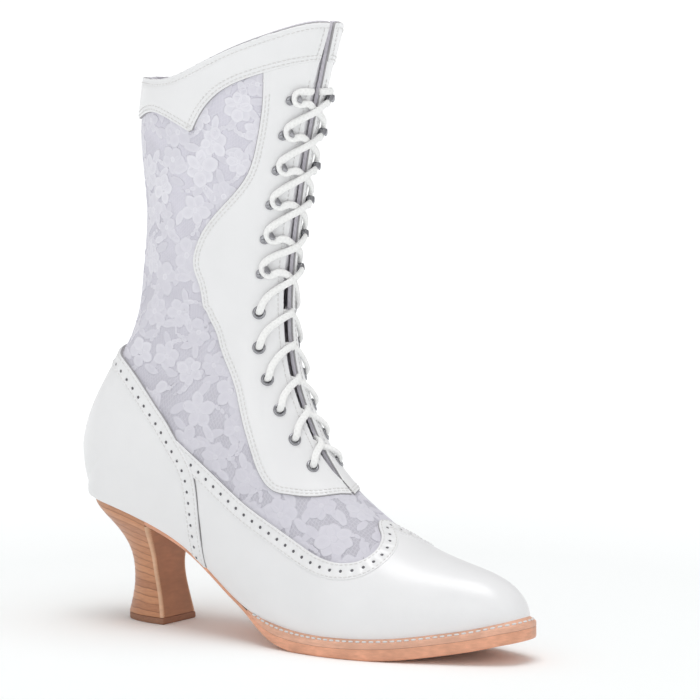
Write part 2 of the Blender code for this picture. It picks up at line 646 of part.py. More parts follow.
def add_hook(name, station, around):
    """A strip bent into a hook that is open away from the throat."""
    place, inward, up, out = seat_frame(station, around, 2 * GAP + LEATHER)
    path = np.array(HOOK_PATH)
    steps = np.gradient(path[:, :2], axis=0)
    across = unit(np.stack([-steps[:, 1], steps[:, 0]], -1)) * HOOK_THICK / 2
    rings = []
    for (toward, rise, half), (tilt, lift) in zip(path, across):
        low = place + (toward - tilt) * inward + (rise - lift) * out
        high = place + (toward + tilt) * inward + (rise + lift) * out
        rings.append(np.array([low - up * half, low + up * half, high + up * half, high - up * half]))
    made = add_loft(name, rings, "nickel")
    shape = bmesh.new()
    shape.from_mesh(made.data)
    bmesh.ops.recalc_face_normals(shape, faces=shape.faces)
    shape.to_mesh(made.data)
    shape.free()


def lace_path(stations, first_side):
    """Places of one strand: at each row it turns near the throat's edge and crosses to the other side."""
    height = GAP + LEATHER + GAP + LACE_RADIUS
    places = []
    for row in range(len(stations) - 1):
        side = first_side if row % 2 == 0 else -first_side
        start = around_from_edge(stations[row], LACE_INSET)
        end = around_from_edge(stations[row + 1], LACE_INSET)
        shares = np.linspace(0.06, 0.94, 4)
        station = stations[row] + (stations[row + 1] - stations[row]) * shares
        places.append(skin(station, side * (start + (-end - start) * shares), height))
    return np.concatenate(places)


def add_tube(name, path, radius, finish, sides=5):
    """A round cord with flat ends along a path."""
    tangents = unit(np.gradient(path, axis=0))
    across = unit(np.cross(tangents[0], (0.0, 0.0, 1.0)))
    rings = []
    for place, tangent in zip(path, tangents):
        across = unit(across - tangent * (across @ tangent))
        other = np.cross(tangent, across)
        angles = np.linspace(0.0, 2 * np.pi, sides, endpoint=False)
        rings.append(place + radius * (np.outer(np.cos(angles), across) + np.outer(np.sin(angles), other)))
    made = add_loft(name, rings, finish)
    shape = bmesh.new()
    shape.from_mesh(made.data)
    bmesh.ops.recalc_face_normals(shape, faces=shape.faces)
    shape.to_mesh(made.data)
    shape.free()
    return made


def add_lacing():
    """Eyelets, hooks and the lace's joined crossings."""
    stations = lacing_stations()
    for word, side in (("lateral", -1), ("medial", 1)):
        for row, station in enumerate(stations):
            around = side * around_from_edge(station, np.interp(row, *zip(*ROW_INSETS)))
            if row < EYELETS:
                add_eyelet(f"eyelet_{word}_{row + 1}", station, around)
            else:
                add_hook(f"hook_{word}_{row + 1 - EYELETS}", station, around)
    lace = add_tube("lace", lace_path(stations, -1), LACE_RADIUS, "cotton_lace")
    strand = add_tube("lace_other_strand", lace_path(stations, 1), LACE_RADIUS, "cotton_lace")
    strand.hide_render = True
    strand.display_type = "WIRE"
    joined = lace.modifiers.new("joined", "BOOLEAN")
    joined.operation = "UNION"
    joined.solver = "EXACT"
    joined.object = strand


def main():
    for old in list(bpy.data.objects):
        bpy.data.objects.remove(old, do_unlink=True)
    add_upper()
    add_panels()
    add_tongue()
    add_insole()
    add_welt()
    add_outsole()
    add_heel()
    add_lacing()


main()
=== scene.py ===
"""Looks of a lace-up boot with a spool heel: cloth, leather, stitches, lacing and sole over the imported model.

Tables and sizes are in millimetres, with x from the back of the heel cup to the toe. Meshes are written in
metres, with the origin in the middle of the heel's floor face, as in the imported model. A place on the boot is
a pair (station, around): station counts the rows of SECTIONS, and around runs from -1 at the outer feather
edge over 0 on the front line to 1 at the inner feather edge, or to the back seam from the heel row on.
"""

import math

import bpy
import numpy as np
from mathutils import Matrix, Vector


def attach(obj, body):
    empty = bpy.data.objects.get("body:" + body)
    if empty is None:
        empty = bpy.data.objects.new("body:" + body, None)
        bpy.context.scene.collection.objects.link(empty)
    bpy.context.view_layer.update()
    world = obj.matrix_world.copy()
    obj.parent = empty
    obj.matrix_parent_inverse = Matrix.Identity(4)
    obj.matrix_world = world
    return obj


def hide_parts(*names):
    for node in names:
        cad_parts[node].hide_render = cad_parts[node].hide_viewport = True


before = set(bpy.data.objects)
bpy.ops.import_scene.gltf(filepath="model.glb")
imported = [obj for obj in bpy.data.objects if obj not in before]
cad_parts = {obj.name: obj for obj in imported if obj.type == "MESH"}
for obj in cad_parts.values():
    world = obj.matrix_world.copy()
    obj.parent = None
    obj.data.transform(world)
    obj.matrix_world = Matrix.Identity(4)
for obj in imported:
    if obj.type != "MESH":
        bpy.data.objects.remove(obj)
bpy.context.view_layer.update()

bl_info = {
    "name": "Lace-up boot looks",
    "version": (1, 0, 0),
    "blender": (4, 5, 0),
    "location": "View3D > Sidebar > Boot",
    "description": "Builds the visible pieces of a lace-up boot over its packed model",
    "category": "Object",
}

MM = 0.001
HEEL_CENTRE = 40.0  # x of the model's origin
WALL = 1.8
LEATHER = 1.0
GAP = 0.3
PANEL_TOP = GAP + LEATHER

# The last, a flat section a row, from a low point at the feather edge or back seam to a top point on the
# front line
SECTION_COLUMNS = (
    "low_x", "low_z", "low_half", "low_shift", "top_x", "top_z", "top_shift",
    "half", "widest", "round_top", "round_low",
)
SECTIONS = {
    "toe_tip": (269.0, 22.0, 0.0, 6.0, 269.0, 22.0, 6.0, 0.0, 0.30, 2.0, 2.0),
    "toe_end": (267.2, 21.5, 7.4, 6.0, 265.2, 30.2, 6.0, 8.1, 0.30, 2.1, 2.0),
    "toe_box": (261.6, 20.0, 12.8, 5.8, 258.4, 37.0, 6.0, 14.0, 0.30, 2.2, 2.0),
    "cap": (252.0, 17.5, 17.5, 5.2, 249.0, 41.5, 5.8, 19.0, 0.28, 2.2, 2.0),
    "vamp": (234.0, 14.0, 24.2, 4.2, 231.0, 46.0, 5.4, 26.2, 0.26, 2.2, 2.0),
    "tread": (212.0, 10.8, 31.3, 2.2, 208.0, 52.4, 5.0, 33.6, 0.24, 2.1, 2.0),
    "ball": (188.0, 9.4, 34.8, 0.0, 187.0, 62.5, 4.4, 37.6, 0.24, 2.0, 2.0),
    "instep": (160.0, 9.8, 32.3, -2.0, 165.5, 78.5, 3.4, 36.2, 0.28, 2.0, 2.0),
    "waist": (132.0, 15.0, 27.3, -2.6, 149.0, 96.5, 2.4, 33.8, 0.34, 2.0, 2.0),
    "shank": (108.0, 27.5, 24.6, -2.0, 138.2, 117.0, 1.6, 32.6, 0.38, 2.0, 2.0),
    "arch": (83.0, 45.5, 24.6, -1.0, 131.2, 136.0, 1.0, 32.6, 0.38, 2.0, 2.0),
    "breast": (58.0, 57.4, 26.2, -0.4, 128.2, 153.0, 0.5, 32.8, 0.36, 2.0, 2.0),
    "seat": (32.0, 65.8, 27.8, 0.0, 127.6, 167.0, 0.2, 32.8, 0.32, 2.0, 2.2),
    "cup": (13.0, 69.6, 21.0, 0.0, 127.9, 179.5, 0.0, 32.6, 0.30, 2.0, 2.2),
    "cup_back": (7.4, 70.6, 11.0, 0.0, 128.3, 185.5, 0.0, 32.4, 0.30, 2.0, 2.2),
    "heel": (5.0, 71.0, 0.0, 0.0, 128.8, 191.0, 0.0, 32.2, 0.30, 2.0, 2.2),
    "heel_rise": (2.3, 78.6, 0.0, 0.0, 129.4, 197.0, 0.0, 31.9, 0.31, 2.0, 2.2),
    "counter": (1.0, 93.0, 0.0, 0.0, 130.5, 206.0, 0.0, 31.4, 0.34, 2.0, 2.2),
    "tendon": (12.6, 121.0, 0.0, 0.0, 132.8, 222.0, 0.0, 30.4, 0.40, 2.0, 2.1),
    "achilles": (28.2, 146.0, 0.0, 0.0, 135.4, 238.0, 0.0, 29.8, 0.45, 2.0, 2.0),
    "hollow": (35.8, 167.0, 0.0, 0.0, 138.3, 253.0, 0.0, 29.8, 0.48, 2.0, 2.0),
    "ankle": (38.8, 190.0, 0.0, 0.0, 141.6, 268.5, 0.0, 31.0, 0.50, 2.0, 2.0),
    "shin": (41.4, 214.0, 0.0, 0.0, 145.2, 283.0, 0.0, 32.6, 0.50, 2.0, 2.0),
    "calf": (39.8, 240.0, 0.0, 0.0, 149.0, 297.0, 0.0, 34.6, 0.50, 2.0, 2.0),
    "band": (38.8, 266.0, 0.0, 0.0, 152.6, 309.5, 0.0, 36.6, 0.50, 2.0, 2.0),
    "collar": (42.8, 292.0, 0.0, 0.0, 156.0, 322.0, 0.0, 38.4, 0.50, 2.0, 2.0),
    "rim": (45.0, 310.0, 0.0, 0.0, 159.0, 334.0, 0.0, 39.6, 0.50, 2.0, 2.0),
}
HEEL_STATION = list(SECTIONS).index("heel")
HEEL_EASE = 0.28  # step, in stations, of the averaging along the heel row
THROAT_END = 7.3
THROAT_GAPS = ((7.3, 0.0), (7.6, 1.6), (8.2, 2.6), (10.0, 3.2), (15.0, 3.8), (22.5, 3.6), (24.0, 2.4),
               (26.0, 1.2))
COLLAR_EDGE = ((0.0, 24.90), (0.11, 24.96), (0.27, 24.85), (0.39, 24.73), (0.48, 24.60), (0.58, 24.52),
               (0.75, 24.80), (1.0, 25.0))
COLLAR_START = 21.0
COLLAR_TOP = 25.0

# Pattern lines in side view, (x, z); each also names the places where it meets the front line or the back
# seam
VAMP_LINE = ((80.6, 103.0), (89.8, 96.8), (104.0, 86.9), (121.4, 74.5), (137.4, 65.3), (156.6, 55.3),
             (167.6, 50.1), (177.4, 47.2), (183.6, 46.7), (188.6, 47.3), (192.6, 49.2), (194.6, 52.4),
             (193.4, 56.0), (188.6, 60.6))
VAMP_PEAK = 183.4  # x where the vamp's peak meets the front line
SEAM_LINE = ((95.0, 37.6), (94.6, 50.0), (94.4, 63.0), (93.7, 75.5), (92.0, 84.8), (88.5, 92.6),
             (80.6, 103.0))
COUNTER_LINE = ((73.4, 112.3), (66.4, 119.9), (59.6, 127.6), (50.8, 137.6), (44.6, 143.0), (36.0, 147.0))
COUNTER_BACK = 148.6  # height of the counter's top at the back seam
STAY_FOOT = 76.9  # height of the eyestays' foot on the front line
STAY_LINE = ((158.0, 77.4), (146.0, 78.4), (138.0, 80.2), (131.0, 86.5), (123.4, 100.7), (115.6, 121.0),
             (107.8, 141.0), (99.0, 161.6), (91.2, 184.0), (88.6, 197.0), (91.4, 206.8), (106.6, 226.6),
             (119.6, 243.0), (125.6, 260.5), (130.0, 280.0), (132.6, 300.0))
CUFF_BACK = 270.0
CUFF_BACK_LINE = ((51.0, 271.0), (63.5, 274.0), (76.5, 271.0), (92.2, 263.6))
CUFF_FRONT_LINE = ((92.2, 263.6), (99.5, 275.0), (112.5, 286.4), (132.0, 294.8))
CUFF_FRONT = 300.6
CUFF_EXTRA = 0.5  # how much thicker the cuff is than vamp and eyestays
STAY_END = 24.6  # station where the eyestays end, under the cuff
SLIT = 0.002  # half the slit between the eyestays below the throat, in around

# Soft folds: station and around of the middle, half length and half width in stations and
# around, turn of the fold in degrees, and depth in millimetres, a trough where negative
FOLDS = (
    (19.6, 0.72, 1.0, 0.050, 12.0, -0.55),
    (20.5, 0.78, 1.1, 0.050, 6.0, 0.40),
    (18.7, 0.60, 0.9, 0.045, 18.0, 0.35),
    (9.6, 0.42, 0.8, 0.050, -20.0, -0.45),
    (10.5, 0.36, 0.8, 0.045, -14.0, 0.35),
    (5.6, 0.34, 0.34, 0.16, 0.0, -0.30),
    (5.1, 0.30, 0.34, 0.16, 0.0, 0.22),
)

# Spool heel, a level a row: share of the way from the top lift to the seat, x of the breast, depth back from
# it, half width, and the exponent of the round back
HEEL_COLUMNS = ("share", "front", "depth", "half", "round")
HEEL_LEVELS = (
    (0.00, 53.3, 29.3, 14.1, 2.2),
    (0.20, 51.0, 23.8, 12.7, 2.2),
    (0.42, 48.3, 20.6, 12.5, 2.2),
    (0.60, 47.8, 23.2, 14.4, 2.3),
    (0.78, 49.3, 34.2, 20.0, 2.5),
    (0.91, 51.6, 44.4, 24.9, 2.8),
    (1.00, 53.2, 47.2, 26.6, 2.9),
)
BREAST_TOP = 0.92
LIFT_FRONT = 55.6
TOP_LIFT = 3.8
HEEL_LAYERS = 15

# Sole
WELT_DROP = 1.0
WELT_THICK = 2.6
WELT_MARGIN = 4.6
WELT_SLOPE = 2.1
SHANK_MARGIN = 0.6
SEAT_GAP = 1.1
SOLE_THICK = 6.2
BREAST_THICK = 2.0
SHANK_THICK = 2.8
WELT_END = 8.35
WELT_FADE = (7.4, 8.75)
SOLE_FADE = (6.9, 8.5)
SOLE_END = 11.17

# Lacing
EYELETS = 6
HOOKS = 6
FIRST_ROW = 14.8
EYELET_PITCH = 17.7
HOOK_STEP = 20.8
HOOK_PITCH = 17.4
ROW_INSETS = ((0, 9.5), (4, 16.5), (6, 14.0), (11, 11.5))
HOOK_PATH = ((-4.2, 0.45, 2.2), (-1.0, 0.45, 2.6), (1.4, 0.5, 2.4), (2.9, 1.0, 1.9), (3.5, 2.2, 1.7),
             (3.2, 3.4, 1.9), (2.2, 4.2, 2.2), (0.8, 4.6, 1.9))  # (towards the throat, up, half width)
CORD_HALF = (1.95, 1.35)  # half width and half thickness of the lace
CORD_SIDES = 14
TONGUE_THICK = 1.5

# Stitches, by distance from the panel's edge
STAY_STITCHES = (1.7, 3.4)
CUFF_STITCHES = (1.6, 3.6)
THROAT_STITCH = 3.6
COLLAR_STITCH = 3.0
BAND_STITCH = 1.25

# Lace cloth: points round a lobe, and the girth tables' stations, rows and columns
LOBE_SIDES = 14
GIRTH_ENDS = (2.8, 25.8)
GIRTH_ROWS = 231
GIRTH_COLUMNS = 401

# Punched bands on the edges of vamp and counter; the counter lies over the vamp's band
BAND_WIDTH = 9.0
HOLE_LINES = (4.5, 5.6)  # distance of the holes from the edge, on vamp and counter
BAND_THICK = 0.55
HOLE_PITCH = 5.9
HOLE_RADIUS = 0.85
COUNTER_TOP = PANEL_TOP + 0.6


def linear(code):
    """A colour #rrggbb in sRGB as linear red, green, blue."""
    channels = [int(code[i:i + 2], 16) / 255 for i in (1, 3, 5)]
    return [c / 12.92 if c <= 0.04045 else ((c + 0.055) / 1.055) ** 2.4 for c in channels]


def colour(code, name, description):
    """A colour property from its sRGB code."""
    return bpy.props.FloatVectorProperty(name=name, description=description, subtype="COLOR", size=3, min=0.0,
                                         max=1.0, default=linear(code))


def length(value, name, description):
    """A length property, given in millimetres."""
    return bpy.props.FloatProperty(name=name, description=description, subtype="DISTANCE", unit="LENGTH",
                                   min=0.0, default=value * MM)


# The last as a surface


def spline_bends(knots, values):
    """Second slopes of the natural cubic spline through the values, from its tridiagonal system."""
    gaps = np.diff(knots)
    slopes = np.diff(values) / gaps
    matrix = np.eye(len(knots))
    right = np.zeros(len(knots))
    for i in range(1, len(knots) - 1):
        matrix[i, i - 1:i + 2] = gaps[i - 1], 2 * (gaps[i - 1] + gaps[i]), gaps[i]
        right[i] = 6 * (slopes[i] - slopes[i - 1])
    return np.linalg.solve(matrix, right)


def natural_spline(knots, values, at, bends=None):
    """Natural cubic spline through (knots, values), read at `at`."""
    knots = np.asarray(knots, float)
    values = np.asarray(values, float)
    if bends is None:
        bends = spline_bends(knots, values)
    gaps = np.diff(knots)
    k = np.clip(np.searchsorted(knots, at, side="right") - 1, 0, len(gaps) - 1)
    a = (knots[k + 1] - at) / gaps[k]
    b = 1 - a
    bow = (a ** 3 - a) * bends[k] + (b ** 3 - b) * bends[k + 1]
    return a * values[k] + b * values[k + 1] + bow * gaps[k] ** 2 / 6


LAST = dict(zip(SECTION_COLUMNS, np.array(list(SECTIONS.values())).T))
LOW_STEPS = np.hypot(np.diff(LAST["low_x"]), np.diff(LAST["low_z"]))
TOP_STEPS = np.hypot(np.diff(LAST["top_x"]), np.diff(LAST["top_z"]))
HALF_STEPS = np.abs(np.diff(LAST["low_half"]))
KNOTS = np.concatenate([[0.0], np.cumsum((LOW_STEPS + TOP_STEPS) / 2 + 0.3 * HALF_STEPS)])
BENDS = {name: spline_bends(KNOTS, LAST[name]) for name in SECTION_COLUMNS}


def sections_at(station):
    """Every column of the section table at the stations."""
    along = np.interp(station, np.arange(len(KNOTS)), KNOTS)
    found = {name: natural_spline(KNOTS, LAST[name], along, BENDS[name]) for name in SECTION_COLUMNS}
    found["low_half"] = np.where(np.asarray(station) < HEEL_STATION, np.maximum(found["low_half"], 0.0), 0.0)
    found["half"] = np.maximum(found["half"], 0.0)
    return found


def section_point(station, around):
    """Points of the sections: a superellipse over the widest line, and a leaning or round wall below it."""
    c = sections_at(station)
    turn = np.pi * np.abs(around)
    sine = np.abs(np.sin(turn))
    cosine = np.abs(np.cos(turn))
    over = turn <= np.pi / 2
    wall = np.clip(c["low_half"] / np.maximum(c["half"], 1e-9), 0.0, 1.0)
    low_power = 1 / c["round_low"] + (1 - 1 / c["round_low"]) * wall
    low_rise = np.clip(1 - cosine ** c["round_low"], 0.0, 1.0) ** low_power
    out = np.where(over, c["half"] * sine ** (2 / c["round_top"]),
                   c["low_half"] + (c["half"] - c["low_half"]) * low_rise)
    up = np.where(over, c["widest"] + (1 - c["widest"]) * cosine ** (2 / c["round_top"]),
                  c["widest"] * (1 - cosine))
    x = c["low_x"] + (c["top_x"] - c["low_x"]) * up
    z = c["low_z"] + (c["top_z"] - c["low_z"]) * up
    shift = c["low_shift"] + (c["top_shift"] - c["low_shift"]) * up
    return np.stack([x, shift + np.sign(around) * out, z], -1)


def wrapped(around):
    """Values of around past the back seam, counted from the other side."""
    return np.where(np.abs(around) > 1, (around + 1) % 2 - 1, around)


def last_point(station, around):
    """Section points, averaged over five nearby stations along the heel row, where open and closed sections
    meet."""
    station, around = np.broadcast_arrays(np.asarray(station, float), np.asarray(around, float))
    around = wrapped(around)
    spread = HEEL_EASE * np.exp(-((station - HEEL_STATION) / 1.1) ** 2) * (1 - np.abs(around) ** 6)
    points = section_point(station, around)
    near = spread > 0.004
    if near.any():
        total = 0.0
        for tap, weight in ((-2, 1), (-1, 2), (0, 3), (1, 2), (2, 1)):
            total = total + weight / 9 * section_point(station[near] + tap * spread[near], around[near])
        points[near] = total
    return points


def unit(vectors):
    """The vectors at length one."""
    return vectors / np.maximum(np.linalg.norm(vectors, axis=-1, keepdims=True), 1e-12)


def square_to(vectors, axis):
    """The vectors turned square to an axis of length one, at length one themselves."""
    return unit(vectors - axis * (vectors * axis).sum(-1, keepdims=True))


def slopes(station, around):
    """Slopes of the last's surface along station and around, by small differences."""
    along = (last_point(station + 0.02, around) - last_point(station - 0.02, around)) / 0.04
    high = np.where(around <= 1.0, np.minimum(around + 0.004, 1.0), around + 0.004)
    low = np.where(around >= -1.0, np.maximum(around - 0.004, -1.0), around - 0.004)
    across = (last_point(station, high) - last_point(station, low)) / (high - low)[..., None]
    return along, across


def last_normal(station, around):
    """Outward directions of the last, in the middle plane at the back seam."""
    station, around = np.broadcast_arrays(np.asarray(station, float), np.asarray(around, float))
    along, across = slopes(np.maximum(station, 0.08), around)
    normal = np.cross(across, along)
    seam = (np.abs(np.abs(around) - 1.0) < 1e-9) & (station >= HEEL_STATION)
    normal[..., 1] = np.where(seam, 0.0, normal[..., 1])
    return unit(normal)


def fold_height(station, around):
    """Soft troughs and ridges: a rounded bump in the fold's own turned axes, for each row of FOLDS, on both
    sides."""
    height = 0.0
    aside = np.abs(wrapped(around))
    for middle, side, long, wide, turn, depth in FOLDS:
        u = (station - middle) / long
        v = (aside - side) / wide
        c, s = math.cos(math.radians(turn)), math.sin(math.radians(turn))
        height = height + depth * np.exp(-(u * c + v * s) ** 2 - (v * c - u * s) ** 2)
    return height


def skin(station, around, height):
    """Points at a height over the last and its folds."""
    station, around = np.broadcast_arrays(np.asarray(station, float), np.asarray(around, float))
    rise = np.asarray(height + fold_height(station, around))
    return last_point(station, around) + last_normal(station, around) * rise[..., None]


def throat_around(station):
    """Half the throat's gap at the stations, as a value of around."""
    gap = np.interp(station, *zip(*THROAT_GAPS))
    return np.arcsin(np.clip(gap / np.maximum(sections_at(station)["half"], 1.0), 0.0, 0.9)) / np.pi


def places_in_side_view(table, side):
    """Places of side-view points. A section is a straight line in side view, so a point's station is where
    its distance from that line changes sign; around follows from how far up the section the point lies. A
    few steps along the surface's slopes then meet the point where the sections are averaged."""
    x, z = np.array(table, float).T
    fine = np.linspace(0.3, 25.9, 2600)
    c = sections_at(fine)
    run_x, run_z = c["top_x"] - c["low_x"], c["top_z"] - c["low_z"]
    off_x, off_z = x[:, None] - c["low_x"], z[:, None] - c["low_z"]
    beside = run_x * off_z - run_z * off_x
    up = (run_x * off_x + run_z * off_z) / (run_x ** 2 + run_z ** 2)
    crossing = (beside[:, :-1] * beside[:, 1:] <= 0) & (up[:, :-1] > -0.05) & (up[:, :-1] < 1.03)
    at = crossing.argmax(1)
    row = np.arange(len(x))
    share = beside[row, at] / (beside[row, at] - beside[row, at + 1])
    station = fine[at] + share * (fine[1] - fine[0])
    up = np.clip(up[row, at] + share * (up[row, at + 1] - up[row, at]), 0.0, 1.0)
    c = sections_at(station)
    top = np.arccos(np.clip((up - c["widest"]) / (1 - c["widest"]), 0.0, 1.0) ** (c["round_top"] / 2))
    low = np.pi - np.arccos(np.clip(1 - up / c["widest"], 0.0, 1.0))
    around = side * np.where(up > c["widest"], top, low) / np.pi
    for _ in range(10):
        along, across = slopes(station, around)
        here = last_point(station, around)
        off_x, off_z = x - here[:, 0], z - here[:, 2]
        det = along[:, 0] * across[:, 2] - along[:, 2] * across[:, 0]
        free = (np.abs(det) > 60.0) & (np.abs(around) < 0.97)
        det = np.where(free, det, 1.0)
        step = (off_x * across[:, 2] - off_z * across[:, 0]) / det
        turn = (off_z * along[:, 0] - off_x * along[:, 2]) / det
        station = station + np.where(free, np.clip(step, -0.2, 0.2), 0.0)
        around = around + np.where(free, np.clip(turn, -0.05, 0.05), 0.0)
    return np.column_stack([station, around])


def station_of(column, value, first, last):
    """Station between two others at which a column of the section table has a value."""
    fine = np.linspace(first, last, 800)
    found = sections_at(fine)[column]
    order = np.argsort(found)
    return float(np.interp(value, found[order], fine[order]))


def mirrored(places):
    """The places on the other side, in the opposite order."""
    return (places * (1.0, -1.0))[::-1]


def unwrapped(places):
    """Places with around counted on past the back seam, from 0 to 2."""
    return np.column_stack([places[:, 0], places[:, 1] % 2.0])


def line_length(points):
    """Distance along a line of points."""
    return np.concatenate([[0.0], np.cumsum(np.linalg.norm(np.diff(points, axis=0), axis=1))])


def splined(knots, lines, at):
    """Natural splines through every column of a line of points."""
    return np.column_stack([natural_spline(knots, column, at) for column in lines.T])


def read_at(knots, lines, at):
    """Every column of a line of points, read straight between its knots."""
    return np.column_stack([np.interp(at, knots, column) for column in lines.T])


def between(table, u, v):
    """A table read between its nearest four entries, at counts of rows and columns."""
    i = np.minimum(u.astype(int), table.shape[0] - 2)
    j = np.minimum(v.astype(int), table.shape[1] - 2)
    widen = (...,) + (None,) * (table.ndim - 2)
    u, v = (u - i)[widen], (v - j)[widen]
    near = table[i, j] * (1 - v) + table[i, j + 1] * v
    far = table[i + 1, j] * (1 - v) + table[i + 1, j + 1] * v
    return near * (1 - u) + far * u


def line_through(places, step=0.4):
    """A smooth line over the last through places, in even steps: natural splines over the chord length."""
    chord = line_length(last_point(*places.T))
    fine = np.linspace(0.0, chord[-1], max(80, int(chord[-1] / step)))
    drawn = splined(chord, places, fine)
    along = line_length(last_point(*drawn.T))
    even = np.linspace(0.0, along[-1], max(2, int(round(along[-1] / step)) + 1))
    return read_at(along, drawn, even)


def evened(vectors):
    """Directions along a line, each averaged with its four neighbours on either side."""
    padded = np.pad(vectors, ((4, 4), (0, 0)), mode="edge")
    return sum(padded[k:k + len(vectors)] for k in range(9)) / 9


def walked_aside(line, distance, steps):
    """A line and its copies moved sideways over the last in even steps, to its left where the distance is
    positive: an array of (step, point, 2). Each point walks straight on. After a step the surface's slopes
    bring it back onto the last, and its direction is turned into the surface there. Close to the feather
    edge, where the slope around vanishes, the slopes just above it stand in, and no point passes that
    edge."""
    places = np.array(line, float)
    wrap = np.where(places[:, 1] > 1, 2.0, 0.0)
    copies_made = [places]
    aim = None
    for _ in range(steps):
        here = last_point(*places.T)
        goal = here
        for turn in range(4):
            station, around = places.T
            above = np.clip(wrapped(around), -0.96, 0.96)
            along, across = slopes(station, np.where(station < HEEL_STATION, above, around))
            if turn == 0:
                out = unit(np.cross(across, along))
                if aim is None:
                    aim = evened(np.cross(out, unit(np.gradient(here, axis=0)))) * distance
                aim = square_to(aim, out)
                goal = here + aim * abs(distance) / steps
            push = goal - last_point(station, around)
            e, f, g = (along * along).sum(-1), (along * across).sum(-1), (across * across).sum(-1)
            p, q = (push * along).sum(-1), (push * across).sum(-1)
            det = np.maximum(e * g - f * f, 1e-9)
            station = station + np.clip((g * p - f * q) / det, -0.3, 0.3)
            around = around + np.clip((e * q - f * p) / det, -0.04, 0.04)
            kept = np.clip(around - wrap, -0.999, 0.999) + wrap
            places = np.column_stack([station, np.where(station < HEEL_STATION, kept, around)])
        copies_made.append(places)
    return np.stack(copies_made)


def moved_over(line, distance):
    """A line moved sideways over the last by a distance, to its left where that is positive."""
    return walked_aside(line, distance, max(1, int(math.ceil(abs(distance)))))[-1]


# Lines of the pattern, as places


def side_curve(table):
    """A smooth curve through side-view points, in steps of about half a millimetre: natural splines over the
    chord length."""
    points = np.array(table, float)
    chord = line_length(points)
    fine = np.linspace(0.0, chord[-1], int(chord[-1] / 0.5) + 2)
    return splined(chord, points, fine)


def vamp_edge():
    """The vamp's edge from the outer seam over the front line to the inner seam."""
    outer = places_in_side_view(side_curve(VAMP_LINE), -1)
    peak = [(station_of("top_x", VAMP_PEAK, 5.0, 7.2), 0.0)]
    return line_through(np.concatenate([outer, peak, mirrored(outer)]))


def counter_edge():
    """The counter's edge from the outer feather edge up the seam, round the back and down the inner seam."""
    outer = places_in_side_view(side_curve(SEAM_LINE + COUNTER_LINE), -1)
    back = [(station_of("low_z", COUNTER_BACK, 16.0, 22.0), 1.0)]
    return line_through(np.concatenate([unwrapped(outer), back, unwrapped(mirrored(outer))]))


def stay_edge(side):
    """An eyestay's edge from the front line round its foot and up the shaft."""
    foot = [(station_of("top_z", STAY_FOOT, 6.0, 8.0), side * 0.004)]
    return line_through(np.concatenate([foot, places_in_side_view(STAY_LINE, side)]))


def cuff_edge():
    """The cuff's lower edge from the outer side of the throat round the back to the inner side."""
    front_station = station_of("top_z", CUFF_FRONT, 22.0, 25.0)
    front = [(front_station, -throat_around(front_station))]
    fore = np.concatenate([places_in_side_view(CUFF_FRONT_LINE, -1), front])[::-1]
    aft = places_in_side_view(CUFF_BACK_LINE, -1)[::-1]
    back = [(station_of("low_z", CUFF_BACK, 23.0, 25.5), 1.0)]
    middle = line_through(np.concatenate([unwrapped(aft), back, unwrapped(mirrored(aft))]))
    outer = line_through(unwrapped(fore))
    inner = line_through(unwrapped(mirrored(fore)))
    return np.concatenate([outer[:-1], middle, inner[1:]])


def seam_edge():
    """The outer seam from the feather edge up to the vamp's edge."""
    return line_through(places_in_side_view(SEAM_LINE, -1))


def vamp_outline():
    """The vamp's outline: up the outer seam, along its edge, down the inner seam and round under the toe."""
    seam = seam_edge()
    under = [(seam[0, 0], 1.2), (-1.0, 1.2), (-1.0, -1.2), (seam[0, 0], -1.2)]
    return np.concatenate([seam, vamp_edge(), mirrored(seam), under])


def counter_outline():
    """The counter's outline, closed along the feather edge, with around counted on past the back seam."""
    edge = counter_edge()
    return np.concatenate([edge, [(edge[-1, 0], 1.0), (edge[0, 0], 1.0)]])


def stay_outline(side):
    """An eyestay's outline: its edge, then down the throat and the front line."""
    edge = stay_edge(side)
    middle = np.array([(THROAT_END, side * SLIT), (edge[0, 0], side * SLIT)])
    return np.concatenate([edge, throat_line(side, THROAT_END, STAY_END)[::-1], middle])


def collar_station(around):
    """Station of the collar's edge at values of around from 0 to 1."""
    return natural_spline(*zip(*COLLAR_EDGE), around)


def collar_line():
    """The collar's top edge from the outer side of the throat round the back to the inner side."""
    around = np.linspace(throat_around(COLLAR_TOP), 1.0, 200)
    half = np.column_stack([collar_station(around), around])
    return np.concatenate([unwrapped(half * (1.0, -1.0))[:-1], half[::-1]])


def throat_line(side, low, high):
    """The throat's edge on one side between two stations."""
    station = np.linspace(low, high, 500)
    return np.column_stack([station, side * throat_around(station)])


# Meshes


def grid_triangles(rows, columns, ring=False):
    """Triangles of a grid, whose last column joins the first where it is a ring."""
    r = np.arange(rows - 1)[:, None]
    c = np.arange(columns if ring else columns - 1)[None, :]
    after = (c + 1) % columns
    a, b = r * columns + c, r * columns + after
    d, e = a + columns, b + columns
    return np.stack([np.stack([a, b, e], -1), np.stack([a, e, d], -1)], 2).reshape(-1, 3)


def welded(points, triangles, digits=3):
    """Index of the first point at each rounded spot, and the triangles on those, without empty ones."""
    _, first, index = np.unique(np.round(points, digits), axis=0, return_index=True, return_inverse=True)
    triangles = index.reshape(-1)[triangles]
    a, b, c = triangles.T
    return first, triangles[(a != b) & (b != c) & (c != a)]


def used_only(triangles, *arrays):
    """The triangles and arrays without the points that no triangle uses."""
    kept, index = np.unique(triangles, return_inverse=True)
    return [index.reshape(-1, 3)] + [array[kept] for array in arrays]


